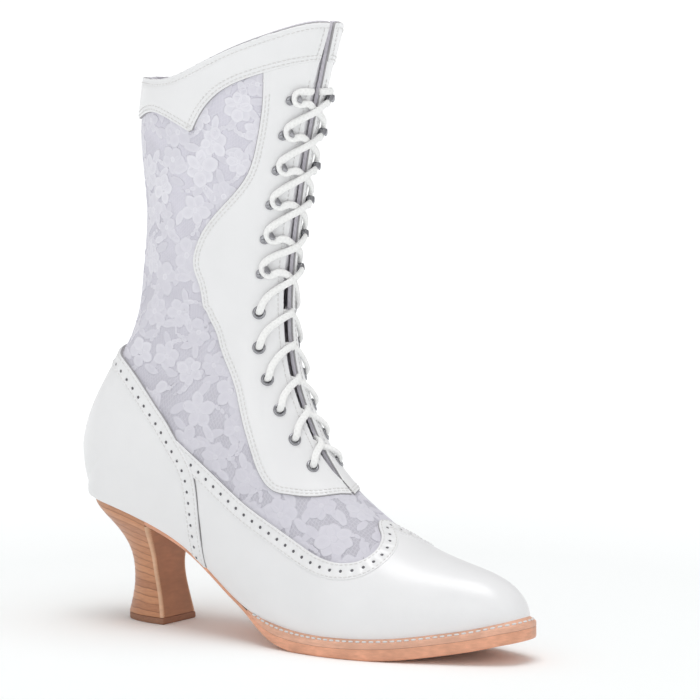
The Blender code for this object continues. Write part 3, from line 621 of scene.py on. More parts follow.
def shell_triangles(triangles, count):
    """Triangles of a closed wall: the sheet, its copy turned round, and a rim along every open edge."""
    edges = np.concatenate([triangles[:, [0, 1]], triangles[:, [1, 2]], triangles[:, [2, 0]]])
    key = edges[:, 0] * count + edges[:, 1]
    back = edges[:, 1] * count + edges[:, 0]
    a, b = edges[~np.isin(key, back)].T
    rim = np.concatenate([np.stack([b, a, a + count], 1), np.stack([b, a + count, b + count], 1)])
    return np.concatenate([triangles, triangles[:, ::-1] + count, rim])


def piece(name, points, triangles, materials, replaces=(), uv=None, face_material=None, sharp=None,
          tone=None):
    """A mesh object from points in the tables' millimetres, that rides on the boot and stands for solids."""
    mesh = bpy.data.meshes.new(name)
    mesh.from_pydata((np.asarray(points, float) - (HEEL_CENTRE, 0.0, 0.0)) * MM, [], np.asarray(triangles))
    for material in materials:
        mesh.materials.append(material)
    if face_material is not None:
        mesh.polygons.foreach_set("material_index", np.asarray(face_material, np.int32))
    if uv is not None:
        layer = mesh.uv_layers.new(name="cloth")
        layer.uv.foreach_set("vector", np.asarray(uv, np.float32)[np.asarray(triangles).ravel()].ravel())
    if tone is not None:
        layer = mesh.attributes.new("tone", "FLOAT", "POINT")
        layer.data.foreach_set("value", np.asarray(tone, np.float32))
    mesh.shade_smooth()
    if sharp:
        mesh.set_sharp_from_angle(angle=math.radians(sharp))
    mesh.update()
    made = bpy.data.objects.new(name, mesh)
    bpy.context.scene.collection.objects.link(made)
    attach(made, "root")
    if replaces:
        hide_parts(*replaces)
    return made


def sheet_of(patches):
    """Places and triangles of patches of a (station, around) grid, welded where their points meet."""
    places = np.concatenate([patch.reshape(-1, 2) for patch in patches])
    triangles = []
    start = 0
    for patch in patches:
        triangles.append(grid_triangles(*patch.shape[:2]) + start)
        start += patch.shape[0] * patch.shape[1]
    first, triangles = welded(last_point(*places.T), np.concatenate(triangles))
    return places[first], triangles


def even_rows(first, last, step):
    """Stations from first to last, about a step apart along the longer of the low and the front line."""
    fine = np.linspace(first, last, 2000)
    c = sections_at(fine)
    low = np.hypot(np.diff(c["low_x"]), np.diff(c["low_z"]))
    top = np.hypot(np.diff(c["top_x"]), np.diff(c["top_z"]))
    along = np.concatenate([[0.0], np.cumsum(np.maximum(low, top))])
    return np.interp(np.linspace(0.0, along[-1], int(along[-1] / step) + 2), along, fine)


def wall_patch(side, rows, columns, front=None):
    """A grid of places on one side of the wall from the throat to the feather edge or back seam; its top rows
    bend to follow the collar's edge."""
    rows = np.asarray(rows)[:, None]
    gap = throat_around(rows) if front is None else np.full(rows.shape, front)
    around = gap + (1 - gap) * np.linspace(0.0, 1.0, columns)[None, :]
    edge = collar_station(around)
    lift = np.clip((rows - COLLAR_START) / (COLLAR_TOP - COLLAR_START), 0.0, 1.0)
    station = np.where(rows > COLLAR_START, COLLAR_START + (edge - COLLAR_START) * lift, rows)
    patch = np.stack([np.broadcast_to(station, around.shape), side * around], -1)
    return patch if side > 0 else patch[:, ::-1]


def distance_to(points, line):
    """Least distance from points to the points of a line."""
    nearest = np.empty(len(points))
    for start in range(0, len(points), 4000):
        part = points[start:start + 4000]
        square = (part ** 2).sum(1)[:, None] + (line ** 2).sum(1)[None, :] - 2 * part @ line.T
        nearest[start:start + 4000] = np.sqrt(np.maximum(square.min(1), 0.0))
    return nearest


def inside(places, outline):
    """Whether places lie inside an outline of places, by the even-odd rule."""
    x0, y0 = outline.T
    x1, y1 = np.roll(outline, -1, axis=0).T
    found = np.zeros(len(places), bool)
    for start in range(0, len(places), 4000):
        x, y = places[start:start + 4000].T[..., None]
        with np.errstate(divide="ignore", invalid="ignore"):
            crosses = ((y0 > y) != (y1 > y)) & (x < (x1 - x0) * (y - y0) / (y1 - y0) + x0)
        found[start:start + 4000] = crosses.sum(1) % 2 == 1
    return found


def split_at(places, triangles, values, level):
    """Cuts the triangles along the line where the values cross a level; the new places lie on their edges."""
    over = values[triangles] > level
    count = over.sum(1)
    mixed = (count == 1) | (count == 2)
    lone = np.where((count[mixed] == 1)[:, None], over[mixed], ~over[mixed])
    turned = (lone.argmax(1)[:, None] + np.arange(3)) % 3
    a, b, c = np.take_along_axis(triangles[mixed], turned, 1).T
    ends = np.sort(np.concatenate([np.stack([a, b], 1), np.stack([a, c], 1)]), axis=1)
    edges, index = np.unique(ends, axis=0, return_inverse=True)
    share = ((level - values[edges[:, 0]]) / (values[edges[:, 1]] - values[edges[:, 0]]))[:, None]
    added = places[edges[:, 0]] * (1 - share) + places[edges[:, 1]] * share
    ab, ac = (index.reshape(-1) + len(places)).reshape(2, -1)
    parts = [triangles[~mixed], np.stack([a, ab, ac], 1), np.stack([ab, b, c], 1), np.stack([ab, c, ac], 1)]
    return (np.concatenate([places, added]), np.concatenate(parts),
            np.concatenate([values, np.full(len(added), level)]))


def panel(name, patches, outline, edges, materials, replaces, wraps=False, grooves=(), thick=LEATHER):
    """A leather panel: the sheet of the patches cut to an outline, as a wall with rounded edges. The height
    is full inside, falls in a quarter round to the edge, and dips in a soft groove under each row of
    stitches. The second material is for the cut edge and the outermost quarter millimetre of the top: the raw
    edge's grey, deepened as painted shade along the edge."""
    places, triangles = sheet_of(patches)
    points = last_point(*places.T)
    lines = np.concatenate([last_point(*edge.T) for edge in edges])
    if wraps:
        places = unwrapped_open(places)
    values = distance_to(points, lines) * np.where(inside(places, outline), 1.0, -1.0)
    near = (values[triangles] > -4.0).any(1)
    triangles, places, values = used_only(triangles[near], places, values)
    levels = [0.0, 0.25, 0.6, 1.0]
    levels += [groove + off for groove in grooves for off in (-0.5, 0.0, 0.5)]
    for level in sorted(levels):
        places, triangles, values = split_at(places, triangles, values, level)
    triangles, places, values = used_only(triangles[values[triangles].mean(1) > 0], places, values)
    rise = np.sqrt(1 - (1 - np.clip(values, 0.0, 1.0)) ** 2)
    height = GAP + thick * (0.25 + 0.75 * rise)
    for groove in grooves:
        height = height - 0.16 * np.exp(-((values - groove) / 0.42) ** 2)
    station, around = places.T
    points = np.concatenate([skin(station, around, height), skin(station, around, GAP - 0.15)])
    faces = shell_triangles(triangles, len(places))
    # the rim and the outer edge of the top take the cut-edge material, a painted shade line along the panel's
    # edge
    cut = np.ones(len(faces), int)
    cut[:len(triangles)] = values[triangles].mean(1) < 0.25
    cut[len(triangles):2 * len(triangles)] = 0
    return piece(name, points, faces, materials, replaces, face_material=cut, sharp=50)


def unwrapped_open(places):
    """Places with around from 0 to 2, where the outer feather edge stays just past 1."""
    station, around = places.T
    return np.column_stack([station, np.where(around < 0, np.maximum(around + 2.0, 1.0 + 1e-6), around)])


def fan_caps(rows, columns):
    """Triangles that close the first and the last of a row of rings, as fans from their first points."""
    k = np.arange(1, columns - 1)
    fan = np.stack([np.zeros(len(k), int), k, k + 1], 1)
    return np.concatenate([fan[:, ::-1], fan + (rows - 1) * columns])


def capped(rings):
    """Points and triangles of a row of rings that fans close at both ends."""
    rows, columns = rings.shape[:2]
    triangles = np.concatenate([grid_triangles(rows, columns, ring=True), fan_caps(rows, columns)])
    return rings.reshape(-1, 3), triangles


def hub_caps(rows, columns):
    """Triangles that close both ends of a row of rings on two points that come after them."""
    k = np.arange(columns)
    after = (k + 1) % columns
    hub, low = rows * columns, (rows - 1) * columns
    return np.concatenate([np.stack([np.full(columns, hub), after, k], 1),
                           np.stack([np.full(columns, hub + 1), low + k, low + after], 1)])


def swept(path, across, profile):
    """Points and triangles of a profile (side, out) carried along a path: each ring is the path's point
    plus the profile in the plane of `across` and tangent times across. Ends close on their middle."""
    tangent = unit(np.gradient(path, axis=0))
    side = square_to(across, tangent)
    other = np.cross(tangent, side)
    rings = path[:, None] + profile[..., :1] * side[:, None] + profile[..., 1:] * other[:, None]
    rows, columns = rings.shape[:2]
    points = np.concatenate([rings.reshape(-1, 3), path[:1], path[-1:]])
    return points, np.concatenate([grid_triangles(rows, columns, ring=True), hub_caps(rows, columns)])


def repeated(triangles, count, size):
    """The triangles of a template of a size in points, for a count of copies."""
    return (triangles[None] + np.arange(count)[:, None, None] * size).reshape(-1, 3)


def copies(template, triangles, places, axes):
    """A template in local axes, copied to every place: point = place + local x, y, z along the three axes."""
    points = places[:, None] + np.einsum("tk,nkj->ntj", template, np.stack(axes, 1))
    return points.reshape(-1, 3), repeated(triangles, len(places), len(template))


def joined(parts):
    """Points and triangles of several meshes as one, and the part each triangle comes from."""
    starts = np.cumsum([0] + [len(points) for points, _ in parts[:-1]])
    triangles = np.concatenate([faces + start for (_, faces), start in zip(parts, starts)])
    owner = np.repeat(np.arange(len(parts)), [len(faces) for _, faces in parts])
    return np.concatenate([points for points, _ in parts]), triangles, owner


# Stage


def floor_and_light(settings):
    """A pale floor, a surround that is bright low down behind the boot and even in front, soft lamps, and the
    camera at the photo's angle."""
    scene = bpy.context.scene
    scene.view_settings.view_transform = "Standard"
    size = 200.0
    mesh = bpy.data.meshes.new("floor")
    corners = [(-size, -size, 0), (size, -size, 0), (size, size, 0), (-size, size, 0)]
    mesh.from_pydata(corners, [], [(0, 1, 2, 3)])
    mesh.materials.append(studio_floor(settings))
    floor = bpy.data.objects.new("floor", mesh)
    scene.collection.objects.link(floor)

    world = bpy.data.worlds.new("surround")
    world.use_nodes = True
    tree = world.node_tree
    toward = add_node(tree, "ShaderNodeTexCoord").outputs["Generated"]
    height = add_node(tree, "ShaderNodeSeparateXYZ", {"Vector": toward}).outputs["Z"]
    light = ranged(tree, height, 0.02, 0.15, 1.1, settings.surround)
    facing = {0: toward, 1: (0.57, -0.82, 0.0)}
    front = add_node(tree, "ShaderNodeVectorMath", facing, operation="DOT_PRODUCT").outputs["Value"]
    ends = {"Factor": ranged(tree, front, -0.1, 0.6), "A": light, "B": settings.front}
    strength = add_node(tree, "ShaderNodeMix", ends, data_type="FLOAT").outputs["Result"]
    set_sockets(tree.nodes["Background"], {"Strength": strength, "Color": (1.0, 1.0, 1.0, 1.0)})
    scene.world = world

    middle = Vector((0.1, 0.0, 0.12))
    lamps = (
        ("top_softbox", (0.4, -0.2, 3.7), 2.4, settings.key),
        ("side_softbox", (1.2, -2.9, 1.2), 1.6, settings.key * 0.1),
    )
    for name, place, size, power in lamps:
        data = bpy.data.lights.new(name, "AREA")
        data.shape = "DISK"
        data.size = size
        data.energy = power
        lamp = bpy.data.objects.new(name, data)
        lamp.location = place
        lamp.rotation_euler = (middle - Vector(place)).to_track_quat("-Z", "Y").to_euler()
        scene.collection.objects.link(lamp)

    azimuth, elevation = settings.azimuth, settings.elevation
    back = Vector((math.sin(azimuth) * math.cos(elevation), -math.cos(azimuth) * math.cos(elevation),
                   math.sin(elevation)))
    data = bpy.data.cameras.new("camera")
    data.sensor_width = 36.0
    data.lens = settings.lens
    data.clip_end = 500.0
    camera = bpy.data.objects.new("camera", data)
    camera.location = Vector((0.1275, 0.0, 0.1528)) + settings.distance * back
    camera.rotation_euler = back.to_track_quat("Z", "Y").to_euler()
    scene.collection.objects.link(camera)
    scene.camera = camera


# Materials


def set_sockets(node, values):
    """Fills a node's sockets, by name or number; a value that is a socket becomes a link."""
    for key, value in values.items():
        if isinstance(value, bpy.types.NodeSocket):
            node.id_data.links.new(value, node.inputs[key])
        else:
            node.inputs[key].default_value = value


def add_node(tree, kind, inputs=None, **settings):
    """Adds a node, sets its properties and fills its sockets."""
    made = tree.nodes.new(kind)
    for name, value in settings.items():
        setattr(made, name, value)
    set_sockets(made, inputs or {})
    return made


def noise(tree, place, scale, **more):
    """Noise over places, from 0 to 1."""
    return add_node(tree, "ShaderNodeTexNoise", {"Vector": place, "Scale": scale, **more}).outputs["Fac"]


def ranged(tree, value, low, high, to_low=0.0, to_high=1.0):
    """A value carried from one range to another, and held at its ends."""
    ends = {"From Min": low, "From Max": high, "To Min": to_low, "To Max": to_high}
    return add_node(tree, "ShaderNodeMapRange", {"Value": value, **ends}).outputs["Result"]


def worked(tree, operation, *values):
    """A number worked out from others."""
    return add_node(tree, "ShaderNodeMath", dict(enumerate(values)), operation=operation).outputs["Value"]


def blend(tree, factor, first, second):
    """A colour between two, by a factor."""
    ends = {"Factor": factor, "A": first, "B": second}
    return add_node(tree, "ShaderNodeMix", ends, data_type="RGBA").outputs["Result"]


def shade(base, factor):
    """A colour made darker or lighter by a factor, with full alpha."""
    return tuple(min(1.0, c * factor) for c in base) + (1.0,)


def tinted(tree, factor, base, low, high):
    """A colour between two shades of a base, by a factor."""
    return blend(tree, factor, shade(base, low), shade(base, high))


def bump(tree, height, strength, distance, **under):
    """Directions that follow a height, whose distance is in millimetres."""
    values = {"Height": height, "Strength": strength, "Distance": distance * MM, **under}
    return add_node(tree, "ShaderNodeBump", values).outputs["Normal"]


def stretched(tree, place, **values):
    """Places scaled or turned."""
    return add_node(tree, "ShaderNodeMapping", {"Vector": place, **values}).outputs["Vector"]


def cloth_place(tree):
    """The developed place on a cloth, from its map."""
    return add_node(tree, "ShaderNodeUVMap", uv_map="cloth").outputs["UV"]


def new_material(name):
    """An empty material with a Principled shader: its tree, the shader and Object coordinates."""
    made = bpy.data.materials.new(name)
    made.use_nodes = True
    tree = made.node_tree
    shader = tree.nodes["Principled BSDF"]
    place = add_node(tree, "ShaderNodeTexCoord").outputs["Object"]
    return made, tree, shader, place


def fill(shader, **values):
    """Sets the shader's own sockets."""
    set_sockets(shader, {name.replace("_", " "): value for name, value in values.items()})


def flecked(name, base, size, low, high, detail, **finish):
    """A material, made once, whose colour wavers between two shades over flecks of a size in millimetres."""
    if name in bpy.data.materials:
        return bpy.data.materials[name]
    made, tree, shader, place = new_material(name)
    fleck = noise(tree, place, 1 / (size * MM), Detail=detail)
    fill(shader, Base_Color=tinted(tree, fleck, base, low, high), **finish)
    return made


def studio_floor(settings):
    """Painted studio floor, lit a little from within like a light table: soft shadows near the boot, and
    plain white farther off."""
    made, tree, shader, place = new_material("painted_studio_floor")
    away = add_node(tree, "ShaderNodeVectorMath", {0: place, 1: (0.1, 0.0, 0.0)}, operation="DISTANCE")
    fill(shader, Base_Color=(*settings.floor, 1.0), Roughness=0.9, Specular_IOR_Level=0.1,
         Emission_Color=(1.0, 1.0, 1.0, 1.0),
         Emission_Strength=ranged(tree, away.outputs["Value"], 0.3, 1.6, 0.0, 0.45))
    return made


def white_leather(settings):
    """Finished full-grain calf: smooth, a soft gloss, pores of about half a millimetre and a faint
    unevenness."""
    if "finished_calf_leather" in bpy.data.materials:
        return bpy.data.materials["finished_calf_leather"]
    made, tree, shader, place = new_material("finished_calf_leather")
    cloud = noise(tree, place, 45.0, Detail=3.0)
    waves = noise(tree, place, 1 / (7.0 * MM), Detail=2.0)
    pores = add_node(tree, "ShaderNodeTexVoronoi", {"Vector": place, "Scale": 1 / (0.55 * MM)})
    soft = bump(tree, waves, 0.22, 0.5)
    fill(shader, Base_Color=tinted(tree, cloud, settings.leather, 0.955, 1.03),
         Roughness=ranged(tree, waves, 0.0, 1.0, 0.27, 0.38),
         Normal=bump(tree, pores.outputs["Distance"], 0.10, 0.12, Normal=soft),
         IOR=1.5, Coat_Weight=0.2, Coat_Roughness=0.2)
    return made


def cut_edge_and_shade_leather(settings):
    """Cut edge of the white leather: the grey of the raw middle of the hide, deepened into a painted shade line
    along the panels' edges; matt and fibrous.
    """
    return flecked("raw_cut_edge_and_painted_shade", settings.raw_edge_and_shade, 0.8, 0.88, 1.1, 3.0, Roughness=0.85, IOR=1.5,
                   Specular_IOR_Level=0.2)


def low_on_foot(tree, place):
    """How far down the foot a place lies, from none on the shaft to rather more than half near the toe."""
    height = add_node(tree, "ShaderNodeSeparateXYZ", {"Vector": place}).outputs["Z"]
    return ranged(tree, height, 0.05, 0.22, 0.6, 0.0)


def lace_ground(settings):
    """Plain ground cloth under a bobbin net: matt, lavender grey and darker low on the foot, with a net of
    about two millimetre meshes, drawn coarser than the real one so that it shows."""
    made, tree, shader, place = new_material("netted_ground_cloth")
    meshes = {"Vector": cloth_place(tree), "Scale": 1 / (2.0 * MM), "Randomness": 0.35}
    net = add_node(tree, "ShaderNodeTexVoronoi", meshes, feature="DISTANCE_TO_EDGE", voronoi_dimensions="2D")
    thread = ranged(tree, net.outputs["Distance"], 0.0, 0.16, 0.35, 0.0)
    cloud = ranged(tree, noise(tree, place, 60.0, Detail=4.0), 0.3, 0.7)
    base = tinted(tree, cloud, settings.ground, 0.93, 1.07)
    toned = blend(tree, low_on_foot(tree, place), base, shade(settings.ground, 0.6))
    fill(shader, Base_Color=blend(tree, thread, toned, shade(settings.motif, 0.96)),
         Normal=bump(tree, thread, 0.5, 0.2), Roughness=0.9, Sheen_Weight=0.15, IOR=1.5,
         Specular_IOR_Level=0.25)
    return made


def lace_motif(settings):
    """Closely worked cotton lace: matt, pale inside each lobe and of the ground's tone at its rim, with fine
    threads of less than a millimetre."""
    made, tree, shader, place = new_material("worked_cotton_lace")
    tone = add_node(tree, "ShaderNodeAttribute", attribute_name="tone").outputs["Fac"]
    base = blend(tree, tone, shade(settings.ground, 0.95), shade(settings.motif, 1.02))
    threads = noise(tree, place, 1 / (0.7 * MM), Detail=2.0)
    fill(shader, Base_Color=blend(tree, low_on_foot(tree, place), base, shade(settings.ground, 0.88)),
         Normal=bump(tree, threads, 0.5, 0.2), Roughness=0.85, Sheen_Weight=0.2, IOR=1.5,
         Specular_IOR_Level=0.3)
    return made


def cotton_twill(name, base):
    """Cotton twill: pale, matt, with slanting ribs a few millimetres apart."""
    made, tree, shader, place = new_material(name)
    weave = {"Vector": place, "Scale": 1 / (6.0 * MM), "Distortion": 1.5, "Detail": 2.0}
    ribs = add_node(tree, "ShaderNodeTexWave", weave, bands_direction="DIAGONAL").outputs["Fac"]
    fill(shader, Base_Color=tinted(tree, ribs, base, 0.93, 1.02), Normal=bump(tree, ribs, 0.3, 0.2),
         Roughness=0.9, Sheen_Weight=0.2, Specular_IOR_Level=0.3)
    return made


def sewing_thread(settings):
    """Bonded sewing thread: white with faint flecks and a little gloss."""
    return flecked("bonded_sewing_thread", settings.thread, 0.8, 0.82, 1.02, 2.0, Roughness=0.55, IOR=1.5)


def hole_shade_and_underlay(settings):
    """Painted shade at the floor of the eyelets' holes and of the punched holes, where it also stands for the
    bands' dark underlay: matt and grey.
    """
    return flecked("underlay_and_painted_hole_shade", settings.underlay_and_hole_shade, 0.9, 0.8, 1.2, 2.0, Roughness=1.0,
                   Specular_IOR_Level=0.0)


def tanned_leather(name, base, streak, streak_mm, rough):
    """Vegetable-tanned leather: warm tan, burnished, with long fibres and darker clouds."""
    made, tree, shader, place = new_material(name)
    along = stretched(tree, place, Scale=(0.25, 0.25, 1.0))
    fibre = noise(tree, along, 1 / (streak_mm * MM), Detail=5.0, Roughness=0.65)
    cloud = noise(tree, place, 70.0, Detail=2.0)
    level = ranged(tree, worked(tree, "MULTIPLY", fibre, cloud), 0.12, 0.40)
    fill(shader, Base_Color=tinted(tree, level, base, 1 - streak, 1 + streak),
         Normal=bump(tree, fibre, 0.25, 0.2), Roughness=rough, IOR=1.5, Coat_Weight=0.1, Coat_Roughness=0.3)
    return made


def stacked_heel(settings):
    """Stacked leather: layers of about four millimetres in two tans, with dark glue lines, waxed."""
    made, tree, shader, place = new_material("stacked_leather_layers")
    count = add_node(tree, "ShaderNodeSeparateXYZ", {"Vector": cloth_place(tree)}).outputs["Y"]
    shifted = worked(tree, "MULTIPLY_ADD", noise(tree, place, 90.0, Detail=2.0), 0.5, count)
    layer = worked(tree, "FLOOR", shifted)
    random = add_node(tree, "ShaderNodeTexWhiteNoise", {"W": layer}, noise_dimensions="1D").outputs["Value"]
    glue = ranged(tree, worked(tree, "FRACT", shifted), 0.0, 0.2, 1.0, 0.0)
    along = stretched(tree, place, Scale=(0.2, 0.2, 1.0))
    fibre = noise(tree, along, 1 / (0.9 * MM), Detail=4.0)
    share = ranged(tree, worked(tree, "MULTIPLY_ADD", random, 0.55, fibre), 0.35, 1.1)
    tan = blend(tree, share, shade(settings.heel_dark, 1.0), shade(settings.heel_light, 1.0))
    fill(shader, Base_Color=blend(tree, glue, tan, shade(settings.heel_dark, 0.72)),
         Normal=bump(tree, fibre, 0.2, 0.15), Roughness=0.42, IOR=1.5, Coat_Weight=0.15, Coat_Roughness=0.25)
    return made


def top_lift_rubber(settings):
    """Moulded heel rubber: dark tan, matt, finely speckled."""
    return flecked("moulded_heel_rubber", settings.lift, 1.2, 0.75, 1.15, 3.0, Roughness=0.7, IOR=1.5)


def nickel_plate(settings):
    """Polished nickel plate: grey and sharp, with faint polishing marks."""
    made, tree, shader, place = new_material("polished_nickel_plate")
    marks = noise(tree, place, 1 / (0.8 * MM), Detail=2.0)
    fill(shader, Base_Color=(*settings.nickel, 1.0), Metallic=1.0,
         Roughness=ranged(tree, marks, 0.0, 1.0, 0.10, 0.24))
    return made


def braided_cord(settings):
    """Braided cotton cord: matt white with crossing strands about a millimetre wide."""
    made, tree, shader, _ = new_material("braided_cotton_cord")
    flat = cloth_place(tree)
    strands = []
    for turn in (0.9, -0.9):
        strand = {"Vector": stretched(tree, flat, Rotation=(0.0, 0.0, turn)), "Scale": 1 / (6.3 * MM)}
        strands.append(add_node(tree, "ShaderNodeTexWave", strand).outputs["Fac"])
    braid = worked(tree, "MAXIMUM", *strands)
    fill(shader, Base_Color=tinted(tree, braid, settings.cord, 0.93, 1.0),
         Normal=bump(tree, braid, 0.35, 0.25), Roughness=0.85, Sheen_Weight=0.2, Specular_IOR_Level=0.3)
    return made


# Upper


def cloth_uv(places):
    """Developed places in metres: girth from the front line, and distance along the boot's middle height."""
    station, around = places.T
    fine = np.linspace(0.0, 26.0, 600)
    middle = line_length(last_point(fine, np.full(fine.shape, 0.4)))
    girth = np.zeros(len(places))
    step = np.abs(around) / 24
    for k in range(24):
        near = last_point(station, np.sign(around) * step * k)
        far = last_point(station, np.sign(around) * step * (k + 1))
        girth += np.linalg.norm(far - near, axis=1)
    return np.column_stack([np.sign(around) * girth, np.interp(station, fine, middle)]) * MM


def wall_rows(step):
    """Stations of the wall's rows, with the toe's first rows closer together."""
    rows = even_rows(0.0, COLLAR_TOP, step)
    toe = np.array([0.0, 0.03, 0.08, 0.16, 0.26, 0.40])
    return np.concatenate([toe, rows[rows > 0.5]])


def build_upper(settings):
    """The lasted wall as a closed shell: lace cloth outside, twill inside."""
    rows = np.sort(np.append(wall_rows(2.2), THROAT_END))
    patches = [wall_patch(side, rows, 62) for side in (-1, 1)]
    places, triangles = sheet_of(patches)
    station, around = places.T
    points = np.concatenate([skin(station, around, 0.0), skin(station, around, -WALL)])
    faces = shell_triangles(triangles, len(places))
    inner = (np.arange(len(faces)) >= len(triangles)).astype(int)
    uv = cloth_uv(places)
    materials = [lace_ground(settings), cotton_twill("lining_twill", settings.lining)]
    piece("upper_cloth", points, faces, materials, ["upper"], uv=np.concatenate([uv, uv]),
          face_material=inner, sharp=50)


def lace_lobe():
    """Points, tones and triangles of one lobe of worked lace: rings round a middle with a scalloped
    outline, domed inside and sunk at the rim, on a flat back. The tone is full inside and falls off at the
    rim."""
    sides = LOBE_SIDES
    turn = np.linspace(0.0, 2 * np.pi, sides, endpoint=False)
    scallop = 1 + 0.05 * np.cos(5 * turn)
    rings = ((0.45, 0.17, 0.75), (0.80, 0.24, 1.0), (0.93, 0.16, 0.5), (1.0, -0.03, 0.0))
    flat = [np.array([[0.0, 0.0, 0.14]])]
    tones = [[0.6]]
    for radius, height, tone in rings:
        edge = radius * (1 + (scallop - 1) * radius)
        flat.append(np.column_stack([edge * np.cos(turn), edge * np.sin(turn), np.full(sides, height)]))
        tones.append(np.full(sides, tone))
    flat.append(np.array([[0.0, 0.0, -0.05]]))
    tones.append([0.0])
    k = np.arange(sides)
    after = (k + 1) % sides
    last = 1 + sides * len(rings)
    triangles = [np.stack([np.zeros(sides, int), 1 + k, 1 + after], 1),
                 np.stack([np.full(sides, last), last - sides + after, last - sides + k], 1),
                 grid_triangles(len(rings), sides, ring=True)[:, ::-1] + 1]
    return np.concatenate(flat), np.concatenate(tones), np.concatenate(triangles)


def scattered_places(seed, spacing):
    """Places spread over both sides of the cloth at least a spacing apart: random tries, each kept where no
    kept one is nearer."""
    random = np.random.default_rng(seed)
    tries = np.column_stack([random.uniform(4.8, 24.6, 9000), random.uniform(-1.0, 1.0, 9000)])
    beside = np.abs(tries[:, 1]) > throat_around(tries[:, 0]) + 0.01
    tries = tries[beside]
    points = last_point(*tries.T)
    kept = np.zeros((0, 3))
    chosen = []
    for k, point in enumerate(points):
        if len(kept) == 0 or ((kept - point) ** 2).sum(1).min() > spacing ** 2:
            chosen.append(k)
            kept = np.concatenate([kept, point[None]])
    return tries[chosen], random


def girth_tables():
    """For even stations, the share of the half girth at even values of around, and around at even shares:
    length from the front line, measured on the sections."""
    stations = np.linspace(*GIRTH_ENDS, GIRTH_ROWS)
    even = np.linspace(0.0, 1.0, GIRTH_COLUMNS)
    points = last_point(stations[:, None], even[None, :])
    girth = np.zeros((len(stations), len(even)))
    girth[:, 1:] = np.cumsum(np.linalg.norm(np.diff(points, axis=1), axis=-1), axis=1)
    share = girth / girth[:, -1:]
    around = np.stack([np.interp(even, row, even) for row in share])
    return share, around


def looked_up(table, station, value):
    """A girth table read between its nearest four entries; values beyond the back seam run on past it."""
    turns = np.round(value / 2)
    inside_turn = value - 2 * turns
    step = (GIRTH_ENDS[1] - GIRTH_ENDS[0]) / (GIRTH_ROWS - 1)
    u = np.clip((station - GIRTH_ENDS[0]) / step, 0.0, GIRTH_ROWS - 1.001)
    v = np.clip(np.abs(inside_turn) * (GIRTH_COLUMNS - 1), 0.0, GIRTH_COLUMNS - 1.001)
    return np.sign(inside_turn) * between(table, u, v) + 2 * turns


